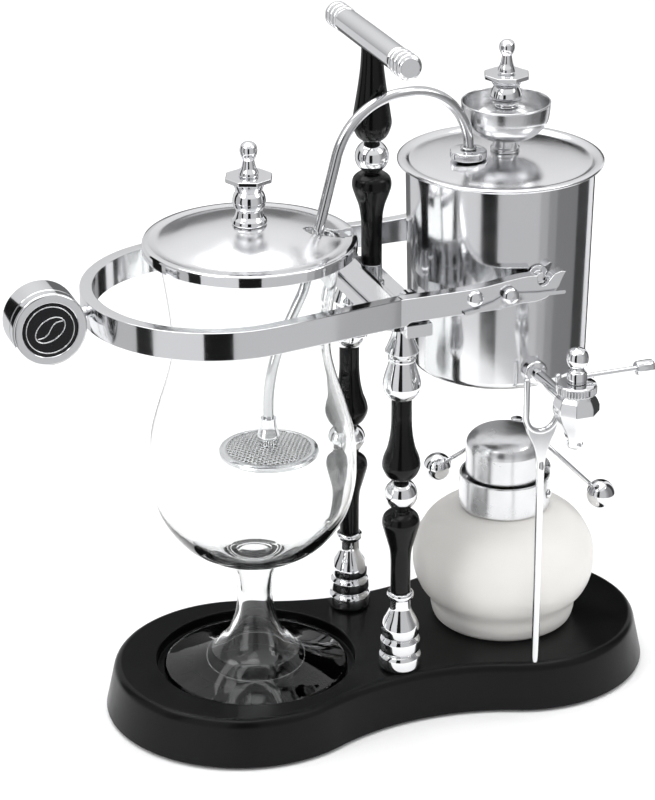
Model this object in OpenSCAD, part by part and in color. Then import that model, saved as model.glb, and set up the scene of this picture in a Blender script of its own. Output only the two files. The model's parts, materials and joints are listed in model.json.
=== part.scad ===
// Balance siphon coffee maker: boiler and glass vessel on a counterweighted beam
// Axes: +X from the glass towards the boiler, +Z up, mm. Origin: on the table, midway between the columns.

/* [Boiler] */
// Outside diameter of the boiler at its mouth
boiler_d = 90; // [88:0.5:90.5]
// Sheet thickness of the boiler wall
boiler_wall = 1; // [0.8:0.1:1.4]
// Across-corners size of the octagonal plate on the filler plug
plug_plate_d = 22.4; // [18:0.2:24]

/* [Balance beam] */
// Diameter of the counterweight drum
drum_d = 34.8; // [30:0.2:38]
// Length of the counterweight drum
drum_len = 20; // [16:0.5:24]
// Width of the beam bar seen from above
beam_t = 6; // [5.5:0.1:6]

/* [Glass vessel] */
// Wall thickness of the glass bowl
glass_wall = 2; // [1.6:0.1:2.4]
// Width of the slot in the glass lid that lets the siphon tube pass
slot_w = 9; // [8:0.5:11]

/* [Siphon tube] */
// Outside diameter of the siphon tube
tube_d = 5; // [4.4:0.1:5]
// Diameter of the perforated filter
filter_d = 46.6; // [40:0.2:48]

/* [Handle and columns] */
// Length of the cross handle
handle_len = 94; // [80:1:100]
// Diameter of the turned balls between the spindles
ball_d = 15.9; // [14.4:0.1:16]

/* [Base and burner] */
// Height of the base top above the table
base_top = 24.5; // [24.5:0.1:24.5]
// Wall thickness of the burner bottle
bottle_wall = 2.5; // [2:0.1:3]
// Diameter of the balls on the snuffer arms
arm_ball_d = 14.6; // [12:0.2:15.5]

/* [Hidden] */
$fn = 96;
eps = 0.01;
felt_h = 1.5;

// base outline: two lobes joined by a concave waist
lobe_l = [-69.4, 67.4];      // centre X, radius at the foot
lobe_r = [76.8, 64.4];
waist = 50.5;                // half-width at the narrowest place
function reach(l, r) = sqrt((l[1] - waist) * (l[1] + waist + 2 * r));
function solve_r(lo, hi, n) = let (m = (lo + hi) / 2)
    n == 0 ? m : reach(lobe_l, m) + reach(lobe_r, m) > lobe_r[0] - lobe_l[0]
    ? solve_r(lo, m, n - 1) : solve_r(m, hi, n - 1);
waist_r = solve_r(20, 400, 40);
waist_c = [lobe_l[0] + reach(lobe_l, waist_r), waist + waist_r];
ang_l = atan2(waist_c[1], waist_c[0] - lobe_l[0]);
ang_r = atan2(waist_c[1], waist_c[0] - lobe_r[0]);
waist_cut = waist_r + 0.15;   // crosses the lobes instead of only touching them
draft = 4.5;
edge_r = 2;
recess = [-62.5, 48.8, 19];  // glass foot recess: centre X, radius, floor height

// columns
col_y = 34.5;
rod_r = 2;
rod_bore = 2.15;
neck_r = 3.4;
ball_r = ball_d / 2;
ball_cut = sqrt(pow(ball_r, 2) - pow(neck_r, 2));
ball_z = 117.3;
plate = [204.6, 210.5];      // bridge plate bottom and top
nut_r = 4.04;
nut_h = 3;

// handle column
grip = [0, 5];               // X, Y of the handle column
grip_rod_r = 2.5;
grip_ball_z = 274.3;
bar_z = 330.5;
bar_r = 6.2;
shaft_r = 5;

// beam
pivot_z = 219;
pivot_r = 2.5;
run_gap = 0.05;
arm_in = 52.3 - beam_t;
arm_out = 52.3;
ring_x = -79.7;
ring_r = 62.8;
beam_z = [210.8, 224.3];
crease = [-8, arm_out];
ring_ang = atan2(crease[1], crease[0] - ring_x)
    + acos(ring_r / norm([crease[0] - ring_x, crease[1]]));
notch = [63.5, 224.2, 2.9];  // pin notch centre X, Z and radius
screw_a = [29, 219.7];
screw_b = [46, 219.4];
screw_r = 1.8;
keeper_y = [52.6, 54.1];
drum = [-163, 218];          // counterweight axis X, Z
drum_y = -15;
stud_r = 3;

// boiler
pot_x = 63.5;
pot_r = boiler_d / 2;
pot_z = [165, 169, 262, 266];
pot_taper = 2;
trunnion_r = 2.6;
cup_at = [67, 3];            // X, Y of the filler cup
nut_at = [46, -2];           // X, Y of the siphon tube in the boiler lid
tube_turn = 186.5;           // direction of the tube's plane seen from above

// siphon tube path in its own plane
tube_r = tube_d / 2;
tube_bore = 1.8;
tube_start = 170;
rise_top = 275;
arc_a = 32;
top_run = 4;
arc_b = 35;
lean = 15.5;
long_run = 61.6;
kick_r = 25;
kick = 12.5;
kick_run = 18;
foot_r = 80;
filter_z = 141.1;
filter_r = filter_d / 2;
slot_end = 81.5;             // distance from the tube nut to the slot's closed end

// tap
tap_y = -91;
tap_z = 175;
pipe_r = 2.9;
stem_r = 3.05;

// glass vessel
glass_x = -62.5;

// burner
burner_x = 69.5;
hinge_dir = 47.5;
hinge_at = [25.5, 99];       // radius from the burner axis, height
hinge_pin_r = 1.2;
collar = [22.6, 21.5, 85.6, 102.6];
dome_r = 19.7;
dome_z = 102.9;
arm_hub = [19.8, 0, 123];
arm_ball = [21.8, 43.3, 88];

chrome = [0.85, 0.86, 0.88];
black = [0.05, 0.05, 0.055];
clear = [0.85, 0.93, 0.95, 0.35];

// ---- profile helpers ----
// Catmull-Rom point between b and c
function cr(a, b, c, d, t) = 0.5 * (2 * b + (c - a) * t + (2 * a - 5 * b + 4 * c - d) * t * t
    + (3 * b - a - 3 * c + d) * t * t * t);
// smooth curve through the points, n steps per span; two points stay a straight line
function smooth(p, n = 3) = len(p) < 3 ? p : concat([for (i = [0 : len(p) - 2]) for (k = [0 : n - 1])
    cr(p[max(i - 1, 0)], p[i], p[i + 1], p[min(i + 2, len(p) - 1)], k / n)], [p[len(p) - 1]]);
// several curves end to end, with a sharp edge where they meet
function chain(s, n = 3) = [for (i = [0 : len(s) - 1]) let (p = smooth(s[i], n))
    for (k = [0 : len(p) - 1])
        if (!(k == 0 && i > 0 && p[0] == s[max(i - 1, 0)][len(s[max(i - 1, 0)]) - 1])) p[k]];
// quarter-round points from angle a to b
function arc(c, r, a, b, n = 5) = [for (i = [0 : n]) let (t = a + (b - a) * i / n)
    [c[0] + r * cos(t), c[1] + r * sin(t)]];

// turned piece: outer curves from bottom to top, closed on a bore of radius r
module turned(s, r = 0, n = 3) {
    p = chain(s, n);
    rotate_extrude() polygon(concat([[r, p[0][1]]], p, [[r, p[len(p) - 1][1]]]));
}

// thin turned wall: outer curve up, inner curve back down
module shell(outer, inner) rotate_extrude() polygon(concat(chain(outer), chain(inner)));

module bead(r, cut, bore) rotate_extrude() intersection() {
    circle(r = r);
    translate([bore, -cut]) square([r, 2 * cut]);
}

module hex(r, h) cylinder(r = r, h = h, $fn = 6);

// ---- base ----
module lobed(prof) {
    top = prof[len(prof) - 1][1];
    low = prof[0][1];
    for (l = [lobe_l, lobe_r]) translate([l[0], 0, 0]) rotate_extrude()
        polygon(concat([[0, low]], [for (p = prof) [l[1] - p[0], p[1]]], [[0, top]]));
    difference() {
        translate([0, 0, low]) linear_extrude(top - low) polygon([
            for (s = [1, -1]) for (k = s > 0 ? [0, 1, 2, 3] : [4, 5])
                k == 0 ? [lobe_l[0], 0]
                : k == 1 ? [lobe_l[0], 0] + (lobe_l[1] - 4) * [cos(ang_l), sin(ang_l)]
                : k == 2 ? [lobe_r[0], 0] + (lobe_r[1] - 4) * [cos(ang_r), sin(ang_r)]
                : k == 3 ? [lobe_r[0], 0]
                : k == 4 ? [lobe_r[0], 0] + (lobe_r[1] - 4) * [cos(ang_r), -sin(ang_r)]
                : [lobe_l[0], 0] + (lobe_l[1] - 4) * [cos(ang_l), -sin(ang_l)]]);
        for (s = [1, -1]) translate([waist_c[0], s * waist_c[1], 0]) rotate_extrude()
            polygon(concat([[0, low - 1], [waist_cut + prof[0][0], low - 1]],
                [for (p = prof) [waist_cut + p[0], p[1]]],
                [[waist_cut + prof[len(prof) - 1][0], top + 1], [0, top + 1]]));
    }
}

fork_at = [pot_x, -54];
fork_bore = 1.95;

module base() color(black) difference() {
    lobed([[0, felt_h], [draft, base_top - edge_r], [draft + edge_r, base_top]]);
    translate([recess[0], 0, recess[2]]) cylinder(r = recess[1], h = base_top);
    for (s = [1, -1]) translate([0, s * col_y, 0]) {
        cylinder(r = 2.2, h = base_top + 1);
        cylinder(r = 4.8, h = 8);
    }
    translate([fork_at[0], fork_at[1], 10]) cylinder(r = fork_bore, h = base_top);
}

module base_felt() color([0.12, 0.12, 0.12]) difference() {
    lobed([[2.5, 0], [2.5, felt_h]]);
    for (s = [1, -1]) translate([0, s * col_y, -1]) cylinder(r = 4.8, h = 4);
}

// ---- columns ----
module foot() turned([
    [[9.3, base_top], [10.4, 26], [10.7, 28.7], [10.4, 31.4], [9.3, 33]],
    [[8.8, 33.2], [9.8, 34.7], [10, 37.2], [9.8, 39.7], [8.8, 41.4]],
    [[8.4, 41.6], [9.2, 43.2], [9.25, 46.5], [8.2, 50], [6.5, 53.3], [5.3, 56.3], [5.1, 59], [5.1, 61.4]],
    [[5.3, 61.8], [6.2, 62.4], [6.55, 63.7], [6.2, 65], [5.2, 65.5]]], rod_bore);
module lower_spindle() turned([
    [[4.6, 65.5], [4.85, 66]],
    [[4.85, 66], [4.85, 74], [4.9, 82], [5.4, 88], [6.7, 93], [8.1, 98], [9.1, 102.4], [8.3, 105.9],
        [6, 108.2], [4.2, 109.2]],
    [[neck_r, 109.2], [neck_r, ball_z - ball_cut]]], rod_bore);
module upper_spindle() turned([
    [[neck_r, ball_z + ball_cut], [neck_r, 125.3]],
    [[4.6, 125.3], [6.6, 126.9], [8, 129], [9.2, 132.6], [8.5, 137], [6.85, 141.5], [5.6, 147.5],
        [5, 154], [4.9, 160], [4.9, 167]]], rod_bore);
module cap() turned([
    [[5.1, 167], [6.9, 168.6], [8.5, 171.2], [9.05, 174.3], [8.5, 178], [7.2, 182.5], [6, 186.5]],
    [[6.6, 186.9], [6.6, 188.3]],
    [[6.3, 188.6], [7.1, 190], [8.05, 191.3]],
    [[8.05, 191.9], [6.5, 195.5], [5, 200], [4.7, plate[0]]]], rod_bore);

module at_col(s) translate([0, s * col_y, 0]) children();
module foot_front() color(chrome) at_col(-1) foot();
module foot_rear() color(chrome) at_col(1) foot();
module lower_spindle_front() color(black) at_col(-1) lower_spindle();
module lower_spindle_rear() color(black) at_col(1) lower_spindle();
module ball_front() color(chrome) at_col(-1) translate([0, 0, ball_z]) bead(ball_r, ball_cut, rod_bore);
module ball_rear() color(chrome) at_col(1) translate([0, 0, ball_z]) bead(ball_r, ball_cut, rod_bore);
module upper_spindle_front() color(black) at_col(-1) upper_spindle();
module upper_spindle_rear() color(black) at_col(1) upper_spindle();
module cap_front() color(chrome) at_col(-1) cap();
module cap_rear() color(chrome) at_col(1) cap();

module tie_rods() color(chrome) for (s = [1, -1]) at_col(s)
    translate([0, 0, 4]) cylinder(r = rod_r, h = plate[1] + nut_h + 0.7 - 4);
module tie_nuts() color(chrome) for (s = [1, -1], z = [8 - nut_h, plate[1]]) at_col(s)
    translate([0, 0, z]) difference() {
        hex(nut_r, nut_h);
        translate([0, 0, -1]) cylinder(r = rod_r, h = nut_h + 2);
    }

// ---- bridge plate and handle ----
lug = [40.5, 44.5, 5.5];     // inner face, outer face, radius
module bridge_plate() color(chrome) difference() {
    union() {
        translate([0, 0, plate[0]]) linear_extrude(plate[1] - plate[0]) polygon(concat(
            arc([0, 32], 12, 0, 68, 5), [[4.6, 52], [-4.6, 52]], arc([0, 32], 12, 112, 180, 5),
            arc([0, -32], 12, 180, 248, 5), [[-4.6, -52], [4.6, -52]], arc([0, -32], 12, 292, 360, 5)));
        for (s = [1, -1]) translate([4.6 - 1, s > 0 ? 43 : -52, plate[0]])
            cube([8 - 3.6, 9, plate[1] - plate[0]]);
        for (s = [1, -1]) translate([0, s > 0 ? lug[1] : -lug[0], 0]) rotate([90, 0, 0])
            linear_extrude(lug[1] - lug[0]) polygon(concat([[-lug[2], plate[1] - 1], [lug[2], plate[1] - 1]],
                arc([0, pivot_z], lug[2], 0, 180, 16)));
    }
    for (s = [1, -1]) translate([0, s * 48, pivot_z]) rotate([s * 90, 0, 0]) cylinder(r = pivot_r, h = 12);
    for (s = [1, -1]) at_col(s) translate([0, 0, plate[0] - 1]) cylinder(r = rod_bore, h = 8);
    translate([grip[0], grip[1], plate[0] - 1]) cylinder(r = grip_rod_r + 0.1, h = 8);
}
module pivot_pins() color(chrome) for (s = [1, -1])
    translate([0, s * lug[0], pivot_z]) rotate([-s * 90, 0, 0]) cylinder(r = pivot_r, h = 9);

module at_grip() translate([grip[0], grip[1], 0]) children();
grip_cut = sqrt(64 - pow(neck_r, 2));
module handle_ferrule() color(chrome) at_grip() turned([
    [[6.2, plate[1]], [6.2, 211.7]], [[5.2, 212.3], [5.05, 220.6]], [[4.9, 221], [4.8, 221]]], 2.65);
module handle_spindle_lower() color(black) at_grip() turned([
    [[4.9, 221], [4.95, 232], [5.1, 243], [6.1, 250], [7.9, 255.2], [9.3, 260], [8.7, 263.8], [6.4, 266]],
    [[neck_r + 0.6, 266.4], [neck_r, grip_ball_z - grip_cut]]], 2.65);
module handle_ball() color(chrome) at_grip() translate([0, 0, grip_ball_z]) bead(8, grip_cut, 2.65);
module handle_spindle_upper() color(black) at_grip() turned([
    [[neck_r, grip_ball_z + grip_cut], [neck_r + 0.4, 282.3]],
    [[4.6, 282.3], [7.3, 284.8], [9.2, 290], [8.7, 295.5], [7.5, 303], [6.3, 311], [5.4, 319],
        [shaft_r, 327]]], 2.65);
module handle_rod() color(chrome) at_grip() {
    translate([0, 0, plate[0] - 4]) hex(4.6, 4);
    translate([0, 0, plate[0] - eps]) cylinder(r = grip_rod_r, h = 333 - plate[0]);
}
ring_w = 4.2;
module handle_bar() color(chrome) difference() {
    translate([grip[0], grip[1], bar_z]) rotate([-90, 0, 0]) turned(concat(
        [[[0, -handle_len / 2], [4.6, -handle_len / 2]]],
        [for (i = [0 : 2]) let (a = -handle_len / 2 + 0.6 + i * ring_w)
            [[5.1, a], [6, a + 0.7], [bar_r, a + 1.8], [6, a + 2.9], [5.1, a + 3.6]]],
        [[[5.1, 13.6 - handle_len / 2], [5.8, 14.4 - handle_len / 2]],
            [[5.8, 14.4 - handle_len / 2], [5.9, 0], [5.8, handle_len / 2 - 14.4]],
            [[5.8, handle_len / 2 - 14.4], [5.1, handle_len / 2 - 13.6]]],
        [for (i = [2, 1, 0]) let (a = handle_len / 2 - 4.2 - i * ring_w)
            [[5.1, a], [6, a + 0.7], [bar_r, a + 1.8], [6, a + 2.9], [5.1, a + 3.6]]],
        [[[4.6, handle_len / 2], [0, handle_len / 2]]]));
    translate([grip[0], grip[1], bar_z - 8]) cylinder(r = shaft_r + 0.2, h = 4.5);
    translate([grip[0], grip[1], bar_z - 4]) cylinder(r = grip_rod_r + 0.05, h = 6.7);
}

// ---- paddle fork ----
prong_r = 1.6;
fork_half = 8;
fork_u = 156;
module fork() color(chrome) translate([fork_at[0], fork_at[1], 0]) {
    translate([0, 0, 12]) cylinder(r = 1.9, h = 118);
    translate([0, 1.25, 0]) rotate([90, 0, 0]) linear_extrude(2.5) difference() {
        polygon(concat([[-1.6, 124], [1.6, 124]],
            smooth([[1.9, 130], [2.8, 136], [4.6, 142], [6.9, 147], [8.2, 152]], 3),
            [[8.2, fork_u], [-8.2, fork_u]],
            smooth([[-8.2, 152], [-6.9, 147], [-4.6, 142], [-2.8, 136], [-1.9, 130]], 3)));
        translate([0, fork_u]) circle(r = fork_half - prong_r + 0.5);
    }
    translate([0, 0, fork_u]) rotate([90, 0, 180]) rotate([0, 0, 180])
        rotate_extrude(angle = 180) translate([fork_half, 0]) circle(r = prong_r, $fn = 24);
    for (s = [1, -1]) translate([s * fork_half, 0, fork_u]) {
        cylinder(r = prong_r, h = 19);
        translate([0, 0, 19]) sphere(r = prong_r, $fn = 24);
    }
}

// ---- balance beam ----
skin = 0.05;                 // the straight arm starts just inside the ring's wall
function on_ring(r) = [ring_x + r * cos(ring_ang) - 1.5 * sin(ring_ang), r * sin(ring_ang) + 1.5 * cos(ring_ang)];
ring_out = on_ring(ring_r - skin);
ring_in = on_ring(ring_r - beam_t + skin);
web = [-10.4, -8.2];
module beam() color(chrome) difference() {
    union() {
        translate([ring_x, 0, 0]) rotate([0, 0, ring_ang]) rotate_extrude(angle = 360 - 2 * ring_ang)
            translate([ring_r - beam_t, beam_z[0]]) square([beam_t, beam_z[1] - beam_z[0]]);
        for (s = [1, -1]) {
            translate([0, 0, beam_z[0]]) linear_extrude(beam_z[1] - beam_z[0]) polygon(
                [ring_out, crease - [0, skin], crease + [1, -0.1], [crease[0] + 1, arm_in + 0.1],
                    [crease[0], arm_in + skin], ring_in] * [[1, 0], [0, s]]);
            translate([0, s > 0 ? arm_out : -arm_in, 0]) rotate([90, 0, 0]) linear_extrude(beam_t)
                    polygon(concat([[crease[0], beam_z[0]], [-5.4, beam_z[0]], [-4.6, 211.2], [-3.2, 212.4],
                        [-2, 212.6], [42, 212.6], [52, 214], [60, 213.9], [65, 215], [69, 217.4], [71.6, 220.4],
                        [73.5, 224.6], [75, 227], [72.6, 227.4], [69.4, 226.6], [67.9, 225.2]],
                        arc([notch[0], notch[1]], notch[2], -20, -180, 12), [[notch[0] - notch[2], 226.8]],
                        smooth([[58.5, 227], [52, 226.9], [44, 226], [34, 224.8], [24, 224.3]], 3),
                        [[crease[0], beam_z[1]]]));
        }
        translate([web[0], -arm_in - 0.5, beam_z[0]])
            cube([web[1] - web[0], 2 * arm_in + 1, beam_z[1] - beam_z[0]]);
    }
    for (s = [1, -1]) {
        translate([0, s * (arm_in - 1), pivot_z]) rotate([-s * 90, 0, 0])
            cylinder(r = pivot_r + run_gap, h = 4.5);
        for (p = [screw_a, screw_b]) translate([p[0], s * 47.9, p[1]]) rotate([-s * 90, 0, 0])
            cylinder(r = screw_r + 0.02, h = 6);
    }
    translate([ring_x - ring_r - 1, 0, drum[1]]) rotate([0, 90, 0]) cylinder(r = stud_r + 0.02, h = beam_t + 2);
}

module drum() color(chrome) difference() {
    translate([drum[0], 0, drum[1]]) rotate([-90, 0, 0]) rotate_extrude() polygon(concat(
        [[0, drum_y + 1.2], [13, drum_y + 1.2], [13, drum_y + 0.2], [13.3, drum_y]],
        arc([drum_d / 2 - 1.2, drum_y + 1.2], 1.2, -90, 0, 4),
        arc([drum_d / 2 - 1.5, drum_y + drum_len - 1.5], 1.5, 0, 90, 4), [[0, drum_y + drum_len]]));
    translate([drum[0] + drum_d / 2 - 5, 0, drum[1]]) rotate([0, 90, 0]) cylinder(r = stud_r + 0.02, h = 8);
}
module drum_badge() color(black) translate([drum[0], drum_y + 0.5, drum[1]]) rotate([-90, 0, 0])
    cylinder(r = 12.8, h = 0.7);
module drum_stud() color(chrome) translate([drum[0] + drum_d / 2 - 4.8, 0, drum[1]]) rotate([0, 90, 0])
    cylinder(r = stud_r, h = ring_x - ring_r + beam_t - 0.4 - drum[0] - drum_d / 2 + 4.8);

module dome_screw(h) {
    translate([0, 0, -4.2]) cylinder(r = screw_r, h = 4.2 + h + eps);
    translate([0, 0, h]) turned([[[3.8, 0], [4, 0.4]], [[4, 0.4], [3.5, 1.3], [2.1, 2], [0, 2.25]]]);
}
module arm_screws() color(chrome) for (s = [1, -1]) {
    translate([screw_a[0], s * arm_out, screw_a[1]]) rotate([-s * 90, 0, 0]) dome_screw(0);
    translate([screw_b[0], s * arm_out, screw_b[1]]) rotate([-s * 90, 0, 0]) dome_screw(1.9);
}
module keeper(s) translate([0, s > 0 ? keeper_y[1] : -keeper_y[0], 0]) rotate([90, 0, 0]) difference() {
    union() {
        translate(screw_b) cylinder(r = 4, h = keeper_y[1] - keeper_y[0]);
        linear_extrude(keeper_y[1] - keeper_y[0]) polygon(concat(
            [[46, 221.2], [52, 219.8], [60, 218.9], [73.2, 218.5]], arc([73.2, 217.6], 0.9, 75, -75, 4),
            [[60, 217.1], [52, 216.6], [46, 216.2], [38, 214.9], [30, 213.6], [24.6, 212.8],
                [23, 213.3], [23.2, 214.2], [30, 215.4], [38, 217.4]]));
    }
    translate([screw_b[0], screw_b[1], -1]) cylinder(r = screw_r + 0.06, h = 4);
}
module keeper_front() color(chrome) keeper(-1);
module keeper_rear() color(chrome) keeper(1);

// ---- boiler ----
module pot_solid() rotate_extrude() polygon(concat([[0, pot_z[0]]],
    arc([pot_r - pot_taper - 4, pot_z[1]], 4, -90, 0, 4), [[pot_r, pot_z[2]], [pot_r, pot_z[3]], [0, pot_z[3]]]));
module boiler() color(chrome) difference() {
    translate([pot_x, 0, 0]) rotate_extrude() polygon(concat([[0, pot_z[0]]],
        arc([pot_r - pot_taper - 4, pot_z[1]], 4, -90, 0, 4),
        [[pot_r, pot_z[2]], [pot_r, pot_z[3]], [pot_r - boiler_wall, pot_z[3]], [pot_r - boiler_wall, pot_z[2]]],
        arc([pot_r - pot_taper - 4, pot_z[1]], 4 - boiler_wall, 0, -90, 4), [[0, pot_z[0] + boiler_wall]]));
    translate([pot_x, -30, tap_z]) rotate([90, 0, 0]) cylinder(r = pipe_r, h = 30);
}
lid_bore = [[nut_at[0], nut_at[1], tube_r + 0.1], [cup_at[0], cup_at[1], 5.1]];
module boiler_lid() color(chrome) difference() {
    translate([pot_x, 0, 0]) shell(
        [[[0, 268.8], [12, 268.7], [24, 268.2], [36, 267.1], [42.4, 266]],
            [[42.4, 266], [42.4, 262.6]], [[pot_r - boiler_wall - 0.3, 262.6], [pot_r - boiler_wall - 0.3, 266]],
            [[46, 266], [48.4, 266.1], [49.1, 266.8], [48.9, 267.6], [47.6, 268.1], [45.6, 268], [44.4, 267.6],
                [43.4, 267]]],
        [[[43.4, 267], [42, 267.15], [36, 268.15], [24, 269.2], [12, 269.7], [0, 269.8]]]);
    for (b = lid_bore) translate([b[0], b[1], 258]) cylinder(r = b[2], h = 20);
}
module trunnions() color(chrome) difference() {
    for (s = [1, -1]) translate([pot_x, s * 42, notch[1]]) rotate([-s * 90, 0, 0]) {
        cylinder(r = 5, h = 3.9);
        cylinder(r = trunnion_r, h = 7.5);
    }
    translate([pot_x, 0, 0]) pot_solid();
}
module filler_cup() color(chrome) translate([cup_at[0], cup_at[1], 0]) shell(
    [[[5, 262], [5, 269.9]], [[7, 269.9], [7, 271.5]], [[6, 272.2], [5.6, 276.2]],
        [[5.6, 276.2], [9, 276.6], [14, 278.2], [18, 281.6], [20.2, 285.6], [20.9, 290], [21.1, 293.4]],
        [[21.1, 293.4], [21.3, 293.9], [21, 294.3], [20.6, 294.2], [20.3, 293.4]]],
    [[[20.3, 293.4], [20.1, 290], [19.4, 286], [17.3, 282.3], [13.5, 279.2], [9, 277.5]],
        [[9, 277.5], [4, 277.5]], [[4, 277.5], [4, 262]]]);
module filler_plug() color(chrome) translate([cup_at[0], cup_at[1], 0]) {
    turned([[[3.2, 268], [3.7, 268.6]], [[3.7, 268.6], [3.7, 279.1]], [[8.2, 279.1], [8.2, 280.6]],
        [[5.4, 281.4], [4.6, 284], [4.6, 288], [5.2, 290.4]],
        [[5.6, 290.6], [5.6, 292.2]], [[4.9, 292.6], [6.6, 294], [7.5, 296.4], [7.1, 299], [6, 301.6]],
        [[6, 301.6], [6.8, 303.2], [7.4, 305.6]], [[3.9, 305.9], [3.9, 308.6]],
        [[4.2, 308.8], [3.9, 310.2], [2.9, 313], [2.25, 316.6]],
        [[2.25, 316.6], [3.2, 318.2], [3.75, 320.4], [3.2, 322.6], [1.6, 323.8], [0, 324]]]);
    translate([0, 0, 305.6]) cylinder(r = plug_plate_d / 2, h = 2.2, $fn = 8);
}
module filler_seal() color([0.85, 0.85, 0.82]) translate([cup_at[0], cup_at[1], 277.6]) difference() {
    cylinder(r = 8, h = 1.5);
    translate([0, 0, -1]) cylinder(r = 3.8, h = 4);
}
module tube_nut() color(chrome) translate([nut_at[0], nut_at[1], 0]) turned([
    [[8, 270.1], [8.75, 270.7]], [[8.75, 270.7], [8.75, 273.6]], [[8.3, 274.1], [4.4, 274.4]]],
    tube_r + run_gap);

// ---- siphon tube ----
function fwd(p, l) = [p[0] + l * sin(p[2]), p[1] + l * cos(p[2]), p[2]];
function turn_to(p, r, to, n) = let (g = to > p[2] ? 1 : -1) [for (i = [1 : n])
    let (a = p[2] + (to - p[2]) * i / n)
    [p[0] + g * r * (cos(p[2]) - cos(a)), p[1] + g * r * (sin(a) - sin(p[2])), a]];
// centreline as distance from the nut, height and heading from straight up
rise = [[0, tube_start, 0], [0, rise_top, 0]];
over_a = turn_to(rise[1], arc_a, 90, 9);
over_b = turn_to(fwd(over_a[8], top_run), arc_b, 180 - lean, 8);
kick_a = turn_to(fwd(over_b[7], long_run), kick_r, 180 - lean - kick, 3);
kick_b = turn_to(fwd(kick_a[2], kick_run), foot_r, 180, 6);
centreline = concat(rise, over_a, [fwd(over_a[8], top_run)], over_b, [fwd(over_b[7], long_run)],
    kick_a, [fwd(kick_a[2], kick_run)], kick_b, [[kick_b[5][0], filter_z + 1.5, 180]]);
sides = 20;
module swept(r_out, r_in) {
    m = len(centreline);
    polyhedron(
        points = [for (r = [r_out, r_in]) for (c = centreline) for (k = [0 : sides - 1])
            let (t = 360 * k / sides)
            [c[0] + r * cos(t) * cos(c[2]), r * sin(t), c[1] - r * cos(t) * sin(c[2])]],
        faces = concat(
            [for (j = [0 : m - 2]) for (k = [0 : sides - 1]) let (a = j * sides, n = (k + 1) % sides)
                for (f = [[a + k, a + sides + k, a + n], [a + n, a + sides + k, a + sides + n]]) f],
            [for (j = [0 : m - 2]) for (k = [0 : sides - 1]) let (a = (m + j) * sides, n = (k + 1) % sides)
                for (f = [[a + k, a + n, a + sides + k], [a + n, a + sides + n, a + sides + k]]) f],
            [for (k = [0 : sides - 1]) let (n = (k + 1) % sides, i = m * sides)
                for (f = [[k, n, i + k], [n, i + n, i + k]]) f],
            [for (k = [0 : sides - 1]) let (n = (k + 1) % sides, o = (m - 1) * sides, i = (2 * m - 1) * sides)
                for (f = [[o + k, i + k, o + n], [o + n, i + k, i + n]]) f]));
}
module siphon_tube() color(chrome) {
    translate([nut_at[0], nut_at[1], 0]) rotate([0, 0, tube_turn]) swept(tube_r, tube_bore);
    translate([nut_at[0], nut_at[1], 274.55]) difference() {
        turned([[[3.2, 0], [3.9, 0.35], [3.9, 0.9], [3.2, 1.2]]]);
        translate([0, 0, -1]) cylinder(r = tube_r - 0.3, h = 4);
    }
}
module at_filter() translate([nut_at[0], nut_at[1], 0]) rotate([0, 0, tube_turn])
    translate([kick_b[5][0], 0, 0]) children();
module filter_ferrule() color(chrome) at_filter() turned([
    [[4.25, filter_z + 3.5], [4.6, filter_z + 5.5], [5.3, filter_z + 7.8], [4.8, filter_z + 10],
        [4, filter_z + 13], [3.75, filter_z + 17.2]]], tube_r);
module filter_top() color(chrome) at_filter() translate([0, 0, filter_z]) rotate_extrude() polygon(concat(
    [[filter_r, 0.15]], smooth([[filter_r - 0.1, 0.65], [16, 2.3], [9, 3.2], [tube_r + 0.1, 3.5]], 3),
    smooth([[tube_r + 0.1, 3], [9, 2.7], [16, 1.8], [filter_r - 1.6, 0.15]], 3)));
module filter_bottom() color(chrome) at_filter() translate([0, 0, filter_z]) rotate_extrude() polygon(concat(
    [[filter_r, -0.15]], smooth([[filter_r - 0.1, -0.65], [16, -2.6], [9, -3.7], [0, -4.1]], 3),
    smooth([[0, -3.6], [9, -3.2], [16, -2.1], [filter_r - 1.6, -0.15]], 3)));
module filter_cloth() color([0.92, 0.9, 0.84]) at_filter() translate([0, 0, filter_z - 0.15])
    cylinder(r = filter_r - 0.1, h = 0.3);

// ---- tap ----
module tap_pipe() color(chrome) translate([pot_x, 0, tap_z]) rotate([90, 0, 0]) difference() {
    union() {
        translate([0, 0, 41]) cylinder(r = pipe_r, h = 42.5);
        difference() {
            translate([0, 0, 42]) turned([[[6, 0], [6, 4.6]], [[5.2, 5.4], [pipe_r, 5.6]]]);
            rotate([-90, 0, 0]) translate([0, 0, -tap_z]) pot_solid();
        }
    }
    translate([0, 0, 40]) cylinder(r = 1.9, h = 50);
}
module at_tap() translate([pot_x, tap_y, 0]) children();
module tap_body() color(chrome) at_tap() difference() {
    intersection() {
        turned([[[3.1, 155.7], [3.9, 156.6]], [[3.9, 156.6], [4.3, 160], [5.8, 164], [8.6, 169], [10.9, 174.4]],
            [[10.9, 174.4], [10.9, 177.4]], [[10.9, 177.4], [9.6, 180.4], [7.6, 182.9]]], 0);
        translate([0, 0, 150]) rotate([0, 0, 22.5]) cylinder(r = 10.9, h = 40, $fn = 8);
    }
    translate([0, 0, 150]) cylinder(r = 2, h = 25);
    translate([0, 0, 172]) cylinder(r = stem_r + run_gap, h = 20);
    translate([0, 0, tap_z]) rotate([-90, 0, 0]) cylinder(r = pipe_r, h = 12);
}
module tap_bonnet() color(chrome) at_tap() turned([[[8.7, 183], [9.5, 183.8]], [[9.5, 183.8], [9.5, 187.2]],
    [[8.6, 188], [5.4, 188.2]]], stem_r + run_gap);
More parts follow.
